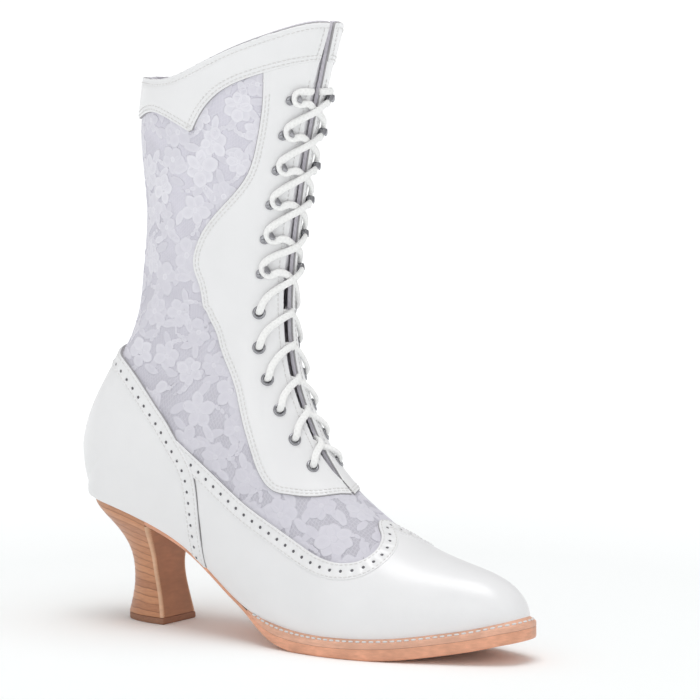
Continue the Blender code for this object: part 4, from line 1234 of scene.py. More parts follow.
def build_lace(settings):
    """Flowers, leaves and sprays of worked lace over the net. A flower is a ring of uneven lobes round a
    knot, a leaf a longer lobe, a spray a bent row of small ones; each lobe is a flat shape in millimetres,
    laid on the last through its two slopes at the flower's middle, along the stations and along the girth,
    in a few steps. A lobe that the last would stretch, that passes the cloth's edge, or that lies wholly
    under the leather, is left out."""
    template, inner_tone, faces = lace_lobe()
    middles, random = scattered_places(11, settings.flower * 1000)
    lobes = []

    def add(angle, reach, *rest):
        lobes.append((*place, reach * math.cos(angle), reach * math.sin(angle), *rest))

    for place in middles:
        count = int(random.integers(5, 8))
        size = random.uniform(0.85, 1.25)
        turn = random.uniform(0, 2 * np.pi)
        tone = random.uniform(0.55, 1.0)
        for k in range(count):
            angle = turn + 2 * np.pi * k / count + random.uniform(-0.16, 0.16)
            reach = 4.2 * size * random.uniform(0.88, 1.15)
            add(angle, reach, angle, 3.8 * size * random.uniform(0.85, 1.2),
                3.2 * size * random.uniform(0.85, 1.2), tone * random.uniform(0.75, 1.0), 0.05 * (k % 2))
        add(0.0, 0.0, 0.0, 1.7 * size, 1.6 * size, 0.9, 0.10)
        for k in range(3):
            angle = turn + 2.1 * k + random.uniform(0.2, 0.9)
            reach = random.uniform(9.0, 11.5) * size
            lean = angle + random.uniform(-0.7, 0.7)
            add(angle, reach, lean, 4.8 * size, 2.2 * size, random.uniform(0.3, 0.8), 0.0)
        for k in range(4):
            angle = turn + 1.2 + 0.16 * k
            reach = (7.4 + 2.2 * k) * size
            add(angle, reach, angle + 0.9, 2.3 - 0.25 * k, 1.5 - 0.15 * k, random.uniform(0.4, 0.9), 0.02)
    station, around, off_x, off_y, angle, long, wide, tone, lift = np.array(lobes).T
    local_x = template[None, :, 0] * long[:, None]
    local_y = template[None, :, 1] * wide[:, None]
    flat_x = off_x[:, None] + local_x * np.cos(angle)[:, None] - local_y * np.sin(angle)[:, None]
    flat_y = off_y[:, None] + local_x * np.sin(angle)[:, None] + local_y * np.cos(angle)[:, None]
    share_table, around_table = girth_tables()
    share = looked_up(share_table, station, around)
    steps = [last_point(station + s, looked_up(around_table, station + s, share + t))
             for s, t in ((0.25, 0.0), (-0.25, 0.0), (0.0, 0.02), (0.0, -0.02))]
    along, across = (steps[0] - steps[1]) / 0.5, (steps[2] - steps[3]) / 0.04
    first = unit(along)
    second = square_to(across, first)
    e, f, g = (along * first).sum(-1), (across * first).sum(-1), (across * second).sum(-1)
    middle = last_point(station, around)[:, None]
    goal = middle + flat_x[..., None] * first[:, None] + flat_y[..., None] * second[:, None]
    station = np.repeat(station[:, None], len(template), 1)
    share = np.repeat(share[:, None], len(template), 1)
    for _ in range(4):
        off = goal - last_point(station, looked_up(around_table, station, share))
        off_x, off_y = (off * first[:, None]).sum(-1), (off * second[:, None]).sum(-1)
        d_share = off_y / g[:, None]
        d_station = (off_x - f[:, None] * d_share) / e[:, None]
        station = np.clip(station + np.clip(d_station, -0.8, 0.8), 3.0, 25.4)
        share = share + np.clip(d_share, -0.12, 0.12)
    around = looked_up(around_table, station, share)
    reach = np.hypot(flat_x, flat_y)
    laid = np.linalg.norm(last_point(station, around) - middle, axis=-1)
    strayed = np.abs(laid - reach) > 0.25 * reach + 0.7
    wrap = wrapped(around)
    edge = collar_station(np.abs(wrap)) - 0.05
    gap = throat_around(station) + 0.006
    bad = (station > edge).any(1) | ((np.abs(wrap) < gap) & (station > THROAT_END - 0.2)).any(1)
    bad |= ((np.abs(around) > 1) & (station < HEEL_STATION + 0.5)).any(1) | strayed.any(1)
    rim = np.append(0, len(template) - 1 - LOBE_SIDES + np.arange(0, LOBE_SIDES, 3))
    probes = np.stack([station[:, rim], wrap[:, rim]], -1).reshape(-1, 2)
    for places, outline in ((probes, vamp_outline()), (unwrapped(probes), counter_outline()),
                            (probes, stay_outline(-1)), (probes, stay_outline(1))):
        bad |= inside(places, outline).reshape(-1, len(rim)).all(1)
    station, around, height = station[~bad], around[~bad], (template[:, 2] + lift[:, None])[~bad]
    points = skin(station.ravel(), around.ravel(), height.ravel())
    triangles = repeated(faces, len(station), len(template))
    piece("lace_flowers", points, triangles, [lace_motif(settings)], (),
          tone=(tone[~bad, None] * inner_tone).ravel())


def build_tongue(settings):
    """A soft strip behind the throat, let in far enough to clear the lace that runs under the eyestays, and
    close behind their edges along the hooks, where the lace stays outside."""
    rows = even_rows(6.5, 24.4, 3.0)[:, None]
    around = np.linspace(-1, 1, 25)[None, :] * (throat_around(rows) + 0.17)
    low, high = lacing_stations()[EYELETS - 1:EYELETS + 1]
    let_in = 3.9 - 2.6 * np.clip((rows - low) / (high - low), 0.0, 1.0)
    depth = WALL + let_in + 0.5 * np.cos(np.pi * np.linspace(-1, 1, 25))[None, :] - 0.5
    station = np.broadcast_to(rows, around.shape)
    places = np.stack([station, around], -1).reshape(-1, 2)
    triangles = grid_triangles(*around.shape)
    outer = skin(*places.T, -depth.ravel())
    inner = skin(*places.T, -depth.ravel() - TONGUE_THICK)
    piece("tongue_cloth", np.concatenate([outer, inner]), shell_triangles(triangles, len(places)),
          [cotton_twill("tongue_twill", settings.tongue)], ["tongue"], sharp=50)


# Leather panels


def build_panels(settings):
    """Vamp, counter, eyestays and cuff, each cut from the last's own surface."""
    # the second material paints a shade line along each panel's cut edge
    leather = [white_leather(settings), cut_edge_and_shade_leather(settings)]
    seam = seam_edge()
    rows = wall_rows(1.5)
    patches = [wall_patch(side, rows[rows < 13.0], 84, front=0.0) for side in (-1, 1)]
    panel("vamp_leather", patches, vamp_outline(), [vamp_edge(), seam, mirrored(seam)], leather, ["vamp"])

    patches = [wall_patch(side, even_rows(9.2, 21.0, 1.5), 84, front=0.12) for side in (-1, 1)]
    panel("counter_leather", patches, counter_outline(), [counter_edge()], leather, ["counter"], wraps=True,
          thick=COUNTER_TOP - GAP)

    for word, side in (("lateral", -1), ("medial", 1)):
        edges = [stay_edge(side), throat_line(side, THROAT_END, STAY_END)]
        patch = wall_patch(side, even_rows(6.3, STAY_END, 1.5), 70)
        patch[..., 1] = np.where(np.abs(patch[..., 1]) < SLIT, side * SLIT, patch[..., 1])
        panel(f"eyestay_{word}_leather", [patch], stay_outline(side), edges, leather, [f"eyestay_{word}"],
              grooves=STAY_STITCHES)

    cuff = cuff_edge()
    collar = collar_line()
    throats = [throat_line(side, cuff[0, 0], collar[0, 0]) for side in (-1, 1)]
    outline = np.concatenate([cuff, unwrapped(throats[1]), collar[::-1], unwrapped(throats[0])[::-1]])
    patches = [wall_patch(side, even_rows(21.2, COLLAR_TOP, 1.4), 84) for side in (-1, 1)]
    panel("cuff_leather", patches, outline, [cuff, collar] + throats, leather, ["cuff"], wraps=True,
          grooves=CUFF_STITCHES, thick=LEATHER + CUFF_EXTRA)


# Punched bands and stitches


def strip_places(edge, width, keep_side):
    """Places of a strip beside an edge: the edge and its copies moved over by even distances, an array of
    (distance, length, 2). Where asked, a copy that would cross the front line stops on it."""
    places = walked_aside(edge, width, 8)
    if keep_side:
        side = np.where(edge[:, 1] < 0, -1.0, 1.0)
        places[..., 1] = side * np.maximum(side * places[..., 1], 0.0)
    return places


def read_strip(places, across, along):
    """Places at a share across a strip and a distance along its middle line, between the nearest four."""
    rows, columns = places.shape[:2]
    middle = places[rows // 2]
    length_there = line_length(last_point(*middle.T))
    u = np.clip(across, 0.0, 1.0) * (rows - 1)
    v = np.interp(along, length_there, np.arange(columns))
    return between(places, u, v)


def punched_tile(pitch, width, hole, aside, thick):
    """One tile of a punched strip, (along, across, up): rings from the round hole, a distance aside of the
    middle, out to a square border, rounded strips at both edges, a back, and a floor in the hole. The
    floor's triangles come last, 16 of them; they take the painted shade of the hole."""
    turn = np.pi / 4 + np.arange(16) * np.pi / 8
    ring = np.column_stack([np.cos(turn), np.sin(turn)])
    border = ring / np.abs(ring).max(1, keepdims=True) * (pitch / 2, width / 2 - 0.7)
    middle = np.array((0.0, aside))
    levels = ((ring * hole + middle, 0.0), (ring * hole + middle, thick - 0.12),
              (ring * (hole + 0.16) + middle, thick), (border, thick))
    parts = [(np.concatenate([np.column_stack([flat, np.full(16, up)]) for flat, up in levels]),
              grid_triangles(4, 16, ring=True)[:, ::-1])]
    along = np.sort(np.unique(np.round(border[:, 0], 6)))
    for rows in (((width / 2 - 0.7, thick), (width / 2 - 0.22, thick * 0.8), (width / 2, -0.1)),
                 ((-width / 2, -0.1), (0.22 - width / 2, thick * 0.8), (0.7 - width / 2, thick)),
                 ((width / 2, -0.1), (-width / 2, -0.1))):
        grid = [np.column_stack([along, np.full(len(along), across), np.full(len(along), up)])
                for across, up in rows]
        parts.append((np.concatenate(grid), grid_triangles(len(rows), len(along))))
    disc = np.column_stack([np.vstack([(0.0, 0.0), ring * hole]) + middle, np.full(17, 0.12)])
    k = np.arange(16)
    parts.append((disc, np.stack([np.zeros(16, int), 1 + k, 1 + (k + 1) % 16], 1)))
    return joined(parts)[:2]


def punched_strip(places, base, hole_line, flip):
    """A strip of punched tiles along an edge, each tile laid out over the strip and lifted off the last."""
    middle = places[places.shape[0] // 2]
    whole = line_length(last_point(*middle.T))[-1]
    count = int(round(whole / HOLE_PITCH))
    pitch = whole / count
    template, faces = punched_tile(pitch, BAND_WIDTH, HOLE_RADIUS, hole_line - BAND_WIDTH / 2, BAND_THICK)
    along = (np.arange(count)[:, None] + 0.5) * pitch + template[None, :, 0]
    across = np.broadcast_to(0.5 + template[:, 1] / BAND_WIDTH, along.shape)
    laid = read_strip(places, across, along).reshape(-1, 2)
    points = skin(*laid.T, base + np.tile(template[:, 2], count))
    triangles = repeated(faces, count, len(template))
    # the hole floors, which take the painted shade of the hole
    dark = np.tile(np.arange(len(faces)) >= len(faces) - 16, count)
    return points, triangles[:, ::-1] if flip else triangles, dark


def build_bands(settings):
    """The punched strips on the edges of vamp and counter."""
    # the second material is the painted shade at the floor of each punched hole, over the bands' dark underlay
    materials = [white_leather(settings), hole_shade_and_underlay(settings)]
    for name, edge, width, base, hole_line in (
            ("vamp_band", vamp_edge(), -BAND_WIDTH, PANEL_TOP - 0.05, HOLE_LINES[0]),
            ("counter_band", counter_edge(), BAND_WIDTH, COUNTER_TOP - 0.05, HOLE_LINES[1])):
        places = strip_places(edge, width, name == "vamp_band")
        points, triangles, dark = punched_strip(places, base, hole_line, width < 0)
        piece(name, points, triangles, materials, (), face_material=dark.astype(int),
              sharp=45)


def stitch_template(long, wide):
    """One stitch, (along, side, up): a round grain whose radius follows a half circle along its length."""
    turn = np.linspace(0.0, 2 * np.pi, 6, endpoint=False)
    share = np.array([-1.0, -0.72, 0.0, 0.72, 1.0])
    size = np.array([0.0, 0.8, 1.0, 0.8, 0.0]) * wide / 2
    rings = np.stack([np.repeat(share * long / 2, 6), np.outer(size, np.cos(turn)).ravel(),
                      np.outer(size, np.sin(turn)).ravel() * 0.8], -1)
    first, triangles = welded(rings, grid_triangles(5, 6, ring=True), 6)
    return rings[first], triangles


def stitch_row(line, height, pitch=2.5, long=1.9, wide=0.62):
    """Stitches in even steps along a line of places, each in the axes of the line and the last."""
    points = last_point(*line.T)
    along = line_length(points)
    at = np.arange(pitch / 2, along[-1] - pitch / 2, pitch)
    station, around = read_at(along, line, at).T
    tangent = read_at(along, unit(np.gradient(points, axis=0)), at)
    out = last_normal(station, around)
    tangent = square_to(tangent, out)
    axes = (tangent, np.cross(out, tangent), out)
    return copies(*stitch_template(long, wide), skin(station, around, height), axes)


def build_stitches(settings):
    """All rows of stitches on the leather panels."""
    rows = []
    for side in (-1, 1):
        stay = stay_edge(side)
        stay = stay[stay[:, 0] < 22.9]
        for inset in STAY_STITCHES:
            rows.append((moved_over(stay, side * inset), PANEL_TOP - 0.02))
        rows.append((moved_over(throat_line(side, 7.9, 22.7), -side * THROAT_STITCH), PANEL_TOP + 0.05))
        rows.append((moved_over(throat_line(side, 23.3, 24.7), -side * THROAT_STITCH), PANEL_TOP + 0.55))
    cuff = cuff_edge()
    for inset in CUFF_STITCHES:
        rows.append((moved_over(cuff, -inset), PANEL_TOP + 0.48))
    rows.append((moved_over(collar_line(), COLLAR_STITCH), PANEL_TOP + 0.55))
    vamp, counter = vamp_edge(), counter_edge()
    for inset in (BAND_STITCH, BAND_WIDTH - BAND_STITCH):
        rows.append((moved_over(vamp, -inset), PANEL_TOP + BAND_THICK - 0.02))
        rows.append((moved_over(counter, inset), COUNTER_TOP + BAND_THICK - 0.02))
    points, triangles, _ = joined([stitch_row(line, height) for line, height in rows])
    piece("panel_stitches", points, triangles, [sewing_thread(settings)], ())


# Lacing


def lacing_stations():
    """Stations of the lacing rows, by distance along the front line from the end of the throat."""
    fine = np.linspace(THROAT_END, COLLAR_TOP, 400)
    along = line_length(last_point(fine, np.zeros(400)))
    pitches = [FIRST_ROW] + [EYELET_PITCH] * (EYELETS - 1) + [HOOK_STEP] + [HOOK_PITCH] * (HOOKS - 1)
    return np.interp(np.cumsum(pitches), along, fine)


def around_from_edge(station, distance):
    """Value of around at a girth distance from the throat's edge."""
    fine = np.linspace(throat_around(station), 0.5, 120)
    return np.interp(distance, line_length(last_point(np.full(120, station), fine)), fine)


def seat_axes(station, around):
    """Directions towards the throat, up or down the throat, and outwards, right-handed in this order."""
    out = last_normal(station, around)
    inward = last_point(station, around * 0.98) - last_point(station, around)
    inward = square_to(inward, out)
    return inward, np.cross(out, inward), out


def lacing_places(side, first, count):
    """Places of a run of lacing rows on one side."""
    stations = lacing_stations()
    rows = np.arange(first, first + count)
    insets = np.interp(rows, *zip(*ROW_INSETS))
    around = [side * around_from_edge(stations[row], inset) for row, inset in zip(rows, insets)]
    return stations[rows], np.array(around)


def turned(profile, steps):
    """A closed profile (radius, height) turned round the third axis."""
    turn = np.linspace(0.0, 2 * np.pi, steps, endpoint=False)
    radius, height = np.array(profile + profile[:1]).T
    points = np.stack([np.outer(radius, np.cos(turn)), np.outer(radius, np.sin(turn)),
                       np.repeat(height[:, None], steps, 1)], -1).reshape(-1, 3)
    first, triangles = welded(points, grid_triangles(len(radius), steps, ring=True), 6)
    return points[first], triangles


def lacing_copies(word, first, count, template, triangles):
    """Copies of a template at a run of lacing rows on both sides, and the solids that they stand for."""
    station, around = np.concatenate([lacing_places(side, first, count) for side in (-1, 1)], axis=1)
    nodes = [f"{word}_{side}_{row + 1}" for side in ("lateral", "medial") for row in range(count)]
    places = skin(station, around, PANEL_TOP)
    return (*copies(template, triangles, places, seat_axes(station, around)), nodes)


def build_eyelets(settings):
    """Rolled eyelet rings, with a disc of painted shade down in the hole."""
    ring = turned([(3.5, -0.15), (3.48, 0.25), (3.2, 0.68), (2.75, 0.85), (2.3, 0.72), (2.0, 0.35),
                   (1.95, -0.15)], 24)
    # a disc of painted shade in the eyelet's hole
    hole = turned([(1.97, 0.0), (1.97, 0.06), (0.0, 0.06), (0.0, 0.0)], 24)
    points, triangles, owner = joined([ring, hole])
    points, triangles, nodes = lacing_copies("eyelet", 0, EYELETS, points, triangles)
    materials = [nickel_plate(settings), hole_shade_and_underlay(settings)]
    piece("eyelet_rings", points, triangles, materials, nodes,
          face_material=np.tile(owner, len(nodes)))


def build_hooks(settings):
    """Lace hooks, each a strip bent from a base plate up and back over it, with rounded ends and a rivet."""
    path = np.array(HOOK_PATH)
    along = line_length(path[:, :2])
    fine = np.linspace(0.0, along[-1], 60)
    toward, rise, half = splined(along, path, fine).T
    blunt = np.sqrt(np.clip(np.minimum(fine, along[-1] - fine) / 1.6 + 0.03, 0.0, 1.0))
    turn = np.linspace(0.0, 2 * np.pi, 16, endpoint=False)
    side = np.sign(np.cos(turn)) * np.abs(np.cos(turn)) ** 0.6
    out = np.sign(np.sin(turn)) * np.abs(np.sin(turn)) ** 0.8
    profile = np.stack([np.outer(half * blunt, side), np.outer(np.full(60, 0.42), out)], -1)
    centre = np.stack([toward, np.zeros(60), rise], -1)
    strip = swept(centre, np.tile((0.0, 1.0, 0.0), (60, 1)), profile)
    rivet = turned([(1.3, 0.6), (1.15, 1.0), (0.7, 1.2), (0.0, 1.26), (0.0, 0.6)], 16)
    rivet = (rivet[0] + (-2.7, 0.0, 0.0), rivet[1])
    points, triangles, _ = joined([strip, rivet])
    points, triangles, nodes = lacing_copies("hook", EYELETS, HOOKS, points, triangles)
    piece("lace_hooks", points, triangles, [nickel_plate(settings)], nodes, sharp=60)


def strand_points(first_side, over):
    """Points and outward directions that one strand of the lace passes. At an eyelet it comes up through
    the hole and runs over its own edge; it crosses the throat over or under the other strand, and slips
    under the other edge to the next eyelet. At a hook it turns round the bend. It ends in the throat over
    the top hooks."""
    rows = EYELETS + HOOKS
    sides = first_side * (-1) ** np.arange(rows)
    points, outs = [], []

    def at(row, *offsets):
        side = sides[row]
        station, around = (value[0] for value in lacing_places(side, row, 1))
        inward, up, out = seat_axes(station, around)
        place = skin(station, around, PANEL_TOP)
        for toward, rise, height in offsets:
            points.append(place + toward * inward - side * rise * up + height * out)
            outs.append(out)

    stations = lacing_stations()
    for row in range(rows):
        if row == 0:
            at(row, (5.5, 0.6, -4.9), (2.2, 0.2, -4.6))
        if row < EYELETS:
            at(row, (0.0, -0.2, -1.6), (0.3, 0.2, 0.6), (1.6, 1.1, 2.0), (4.6, 2.9, 2.1))
        elif row < rows - 1:
            at(row, (4.8, -4.0, 1.9), (1.7, -3.0, 2.0), (0.4, 0.0, 2.1), (1.7, 3.0, 2.1), (4.8, 4.0, 2.1))
        else:
            at(row, (4.8, -4.0, 1.9), (1.7, -3.0, 2.0), (0.4, 0.0, 2.1), (2.0, 2.8, 2.1), (5.6, 2.6, 2.0),
               (9.6, 0.6, 0.6), (12.0, -1.4, -3.2))
            break
        lift = 1.35 if (row % 2 == 0) == over else -1.35
        middle = (stations[row] + stations[row + 1]) / 2
        height = (0.9 if row < EYELETS - 1 else 2.6) + lift
        points.append(skin(middle, 0.0, height))
        outs.append(last_normal(middle, 0.0))
        if row < EYELETS - 1:
            at(row + 1, (7.0, -5.0, -4.6), (3.0, -2.0, -4.7))
    return np.array(points), np.array(outs)


def build_lace_cord(settings):
    """The lace as an oval cord: each strand is a natural spline over the chord length of its points, the
    wide way of the section lying on the last except where the strand stands up through an eyelet."""
    turn = np.linspace(0.0, 2 * np.pi, CORD_SIDES, endpoint=False)
    oval = np.column_stack([CORD_HALF[0] * np.cos(turn), CORD_HALF[1] * np.sin(turn)])
    parts, uvs = [], []
    for side, over in ((-1, True), (1, False)):
        points, outs = strand_points(side, over)
        chord = line_length(points)
        fine = np.linspace(0.0, chord[-1], int(chord[-1] / 0.7))
        path = splined(chord, points, fine)
        out = unit(read_at(chord, outs, fine))
        tangent = unit(np.gradient(path, axis=0))
        across = np.cross(out, tangent)
        flat = np.linalg.norm(across, axis=1) > 0.45
        across = read_at(fine[flat], unit(across)[flat], fine)
        parts.append(swept(path, across, np.broadcast_to(oval, (len(path), *oval.shape))))
        along = line_length(path)
        round_cord = turn[None, :] * sum(CORD_HALF) / 2
        uv = np.stack(np.broadcast_arrays(round_cord, along[:, None]), -1).reshape(-1, 2)
        uvs.append(np.concatenate([uv, [(0.0, 0.0), (0.0, along[-1])]]))
    points, triangles, _ = joined(parts)
    piece("lace_cord", points, triangles, [braided_cord(settings)], ["lace"],
          uv=np.concatenate(uvs) * MM)


# Sole and heel


def fade(station, ends):
    """1 before the first station of `ends`, 0 past the second, and smooth between."""
    share = np.clip((np.asarray(station, float) - ends[0]) / (ends[1] - ends[0]), 0.0, 1.0)
    return 1 - share * share * (3 - 2 * share)


def feather_drop(station):
    """How far the outsole's top lies under the feather edge."""
    return SEAT_GAP + (WELT_DROP + WELT_THICK + GAP - SEAT_GAP) * fade(station, WELT_FADE)


def feather_outline(station, side, margin):
    """Points (x, y) of the feather edge at one side, -1 outer or 1 inner, moved out by a margin."""
    near = sections_at(np.maximum(station - 0.03, 0.0))
    far = sections_at(np.minimum(station + 0.03, HEEL_STATION - 1e-6))
    step_x = far["low_x"] - near["low_x"]
    step_y = far["low_shift"] + side * far["low_half"] - near["low_shift"] - side * near["low_half"]
    normal = unit(np.stack([side * step_y, -side * step_x], -1))
    normal[station <= 0.0] = (1.0, 0.0)
    here = sections_at(station)
    edge = np.stack([here["low_x"], here["low_shift"] + side * here["low_half"]], -1)
    return edge + normal * np.reshape(margin, (-1, 1))


def sole_margin(station):
    """How far the sole stands out from the upper."""
    return SHANK_MARGIN + (WELT_MARGIN - SHANK_MARGIN) * fade(station, WELT_FADE)


def sole_rows(end):
    """Stations of the sole's rows up to an end, closer together at the toe."""
    rows = wall_rows(1.6)
    return np.append(rows[rows < end - 0.02], end)


def build_welt(settings):
    """The welt: a rounded strip carried round the forefoot, whose top slopes up to the upper, with a row of
    stitches along a groove in the slope."""
    half = sole_rows(WELT_END)
    station = np.concatenate([half[::-1], half[1:]])
    side = np.concatenate([-np.ones(len(half)), np.ones(len(half) - 1)])
    outer = np.maximum(sole_margin(station), 1.2)
    low_z = sections_at(station)["low_z"]
    bottom = low_z - feather_drop(station) + 0.05
    top = np.maximum(low_z - WELT_DROP, bottom + GAP)
    slope = WELT_SLOPE * fade(station, WELT_FADE)
    profile = ((0.0, 0.0, 0.0), (0.7, 0.0, 0.0), (0.975, 0.01, 0.0), (0.995, 0.12, 0.0), (1.0, 0.6, 0.0),
               (0.97, 0.88, 0.0), (0.90, 1.0, 0.02), (0.80, 1.0, 0.15), (0.71, 0.95, 0.28),
               (0.64, 0.92, 0.38), (0.57, 0.95, 0.48), (0.48, 1.0, 0.62), (0.22, 1.0, 1.0),
               (0.0, 1.0, 1.0))
    rings = []
    for out, up, rise in profile:
        margin = 0.3 + (outer - 0.3) * out
        edges = [feather_outline(station, s, margin) for s in (-1, 1)]
        flat = np.where((side < 0)[:, None], *edges)
        rings.append(np.column_stack([flat, bottom + (top - bottom) * up + slope * rise]))
    rings = np.stack(rings, 1)
    points, triangles = capped(rings)
    leather = tanned_leather("welt_leather", settings.welt, 0.16, 1.6, 0.5)
    piece("welt_strip", points, triangles, [leather], ["welt"], sharp=50)

    groove = rings[:, 9]
    along = line_length(groove)
    at = np.arange(6.0, along[-1] - 6.0, 3.7)
    place = read_at(along, groove, at)
    tangent = unit(read_at(along, np.gradient(groove, axis=0), at))
    across = read_at(along, rings[:, 10] - rings[:, 8], at)
    out = unit(np.cross(across, tangent))
    out = out * np.sign(out[:, 2:])
    axes = (tangent, np.cross(out, tangent), out)
    points, triangles = copies(*stitch_template(2.8, 1.25), place + 0.2 * out, axes)
    piece("welt_stitches", points, triangles, [sewing_thread(settings)], ())


def build_outsole(settings):
    """The outsole: at each station a closed ring across the sole, its edges rounded, its underside flat."""
    station = sole_rows(SOLE_END)
    margin = sole_margin(station)
    top = sections_at(station)["low_z"] - feather_drop(station)
    thick = SHANK_THICK + (SOLE_THICK - SHANK_THICK) * fade(station, SOLE_FADE)
    low = np.maximum(top - thick, 0.0)
    round_edge = ((-1.0, 1.0), (-0.12, 0.995), (-0.02, 0.95), (0.0, 0.55), (-0.02, 0.25), (-0.3, 0.07),
                  (-1.1, 0.0))
    rings = []
    for side, order in ((1, 1), (-1, -1)):
        for out, up in round_edge[::order]:
            flat = feather_outline(station, side, margin + out)
            rings.append(np.column_stack([flat, low + (top - low) * up]))
        if side > 0:
            near, far = rings[-1], np.column_stack([feather_outline(station, -1, margin - 1.1), low])
        else:
            near, far = rings[-1], rings[0]
        rings += [near + (far - near) * share for share in (0.2, 0.4, 0.6, 0.8)]
    rings = np.stack(rings, 1)[:, ::-1]
    rows, columns = rings.shape[:2]
    points = rings.reshape(-1, 3)
    end_cap = fan_caps(rows, columns)[columns - 2:]
    first, triangles = welded(points, np.concatenate([grid_triangles(rows, columns, ring=True), end_cap]))
    points = points[first]
    a, b, c = points[triangles].transpose(1, 0, 2)
    under = unit(np.cross(b - a, c - a))[:, 2] < -0.7
    materials = [tanned_leather("outsole_leather_edge", settings.sole, 0.18, 1.4, 0.48),
                 tanned_leather("worn_outsole_leather", settings.underside, 0.15, 3.0, 0.7)]
    piece("outsole_leather", points, triangles, materials, ["outsole"],
          face_material=under.astype(int), sharp=55)


def seat_height(x):
    """Height of the feather edge over the heel at an x."""
    line = sections_at(np.linspace(HEEL_STATION, HEEL_STATION - 4, 60))
    return np.interp(x, line["low_x"], line["low_z"])


def heel_level(share):
    """Front, depth, half width and roundness of the heel at shares of its height."""
    table = np.array(HEEL_LEVELS).T
    return [natural_spline(table[0], table[k], share) for k in range(1, len(HEEL_COLUMNS))]


def heel_points(share, angle, grow=0.0):
    """Points on the heel's round back: x = front - depth cos(angle), y = half sin(angle), both to the level's
    exponent, with the levels tilting more the nearer they are to the seat."""
    front, depth, half, power = heel_level(share)
    sine, cosine = np.sin(angle), np.abs(np.cos(angle))
    x = front - (depth + grow) * cosine ** (2 / power)
    y = (half + grow) * np.sign(sine) * np.abs(sine) ** (2 / power)
    base = TOP_LIFT + 0.02
    return np.stack([x, y, base + share * (seat_height(x) - SEAT_GAP - base)], -1)


def build_heel(settings):
    """The stacked heel: levels with a straight breast and a round back, drawn in at the glue line between
    layers."""
    layer = np.arange(HEEL_LAYERS)[:, None] + np.array([0.0, 0.12, 0.5, 0.88])[None, :]
    share = np.append(layer.ravel(), HEEL_LAYERS)[:, None] / HEEL_LAYERS
    dent = np.where(np.abs(share * HEEL_LAYERS - np.round(share * HEEL_LAYERS)) < 0.01, -0.16, 0.0)
    angle = np.linspace(-np.pi / 2, np.pi / 2, 41)[None, :]
    back = heel_points(share, angle, dent)
    shares = np.linspace(0.0, 1.0, 8)[1:-1]
    front = back[:, -1:] + (back[:, :1] - back[:, -1:]) * shares[None, :, None]
    rings = np.concatenate([back, front], 1)[:, ::-1]
    rows, columns = rings.shape[:2]
    points = np.concatenate([rings.reshape(-1, 3), rings[:1].mean(1), rings[-1:].mean(1)])
    triangles = np.concatenate([grid_triangles(rows, columns, ring=True), hub_caps(rows, columns)])
    turn = np.broadcast_to(np.linspace(0.0, 1.0, columns)[None, :], (rows, columns))
    uv = np.stack([turn, np.broadcast_to(share * HEEL_LAYERS, (rows, columns))], -1).reshape(-1, 2)
    uv = np.concatenate([uv, [(0.0, 0.0), (0.0, HEEL_LAYERS)]])
    piece("stacked_heel", points, triangles, [stacked_heel(settings)], ["heel"], uv=uv,
          sharp=40)


def build_breast(settings):
    """The cover on the heel's breast: a thin plate with rounded sides, whose pale cut edges show."""
    share = np.linspace(0.0, BREAST_TOP, 40)
    half = heel_level(share)[2]
    edge = heel_points(share, np.full(40, np.pi / 2))
    profile = ((-1.0, 0.0), (-1.0, 0.6), (-0.985, 0.86), (-0.95, 1.0), (-0.86, 1.0), (-0.5, 1.0), (0.0, 1.0),
               (0.5, 1.0), (0.86, 1.0), (0.95, 1.0), (0.985, 0.86), (1.0, 0.6), (1.0, 0.0))
    rings = np.stack([np.column_stack([edge[:, 0] + 0.05 + BREAST_THICK * out, across * half, edge[:, 2]])
                      for across, out in profile], 1)
    points, triangles = capped(rings)
    across = np.abs(points[triangles].mean(1)[:, 1])
    wide = np.interp(points[triangles].mean(1)[:, 2], edge[:, 2], half)
    materials = [tanned_leather("breast_cover_leather", settings.breast, 0.14, 2.2, 0.55),
                 tanned_leather("cut_leather_edge", settings.cut_edge, 0.10, 1.2, 0.6)]
    piece("breast_cover", points, triangles, materials, ["heel_breast"],
          face_material=(across > wide * 0.9).astype(int), sharp=50)


def build_top_lift(settings):
    """The top lift: the heel's lowest level, a little larger, with rounded edges."""
    front, depth, half, power = heel_level(np.array(0.0))
    angle = np.linspace(-np.pi / 2, np.pi / 2, 49)
    rings = []
    for z, grow in ((0.0, -0.7), (0.25, -0.2), (0.8, 0.0), (3.0, -0.1), (3.5, -0.3), (TOP_LIFT, -0.9)):
        deep = depth + LIFT_FRONT - front + 2 * grow
        x = LIFT_FRONT + min(grow, 0.0) - deep * np.cos(angle) ** (2 / power)
        y = (half + grow) * np.sign(angle) * np.abs(np.sin(angle)) ** (2 / power)
        rings.append(np.column_stack([x, y, np.full(len(angle), z)]))
    points, triangles = capped(np.stack(rings)[:, ::-1])
    piece("top_lift_block", points, triangles, [top_lift_rubber(settings)], ["top_lift"],
          sharp=50)


def finish_insole(settings):
    """The insole's own solid stays and takes a leather finish."""
    leather = tanned_leather("insole_leather_sock", settings.insole, 0.08, 2.5, 0.6)
    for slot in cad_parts["insole"].material_slots:
        slot.material = leather


# Properties, operators and panel


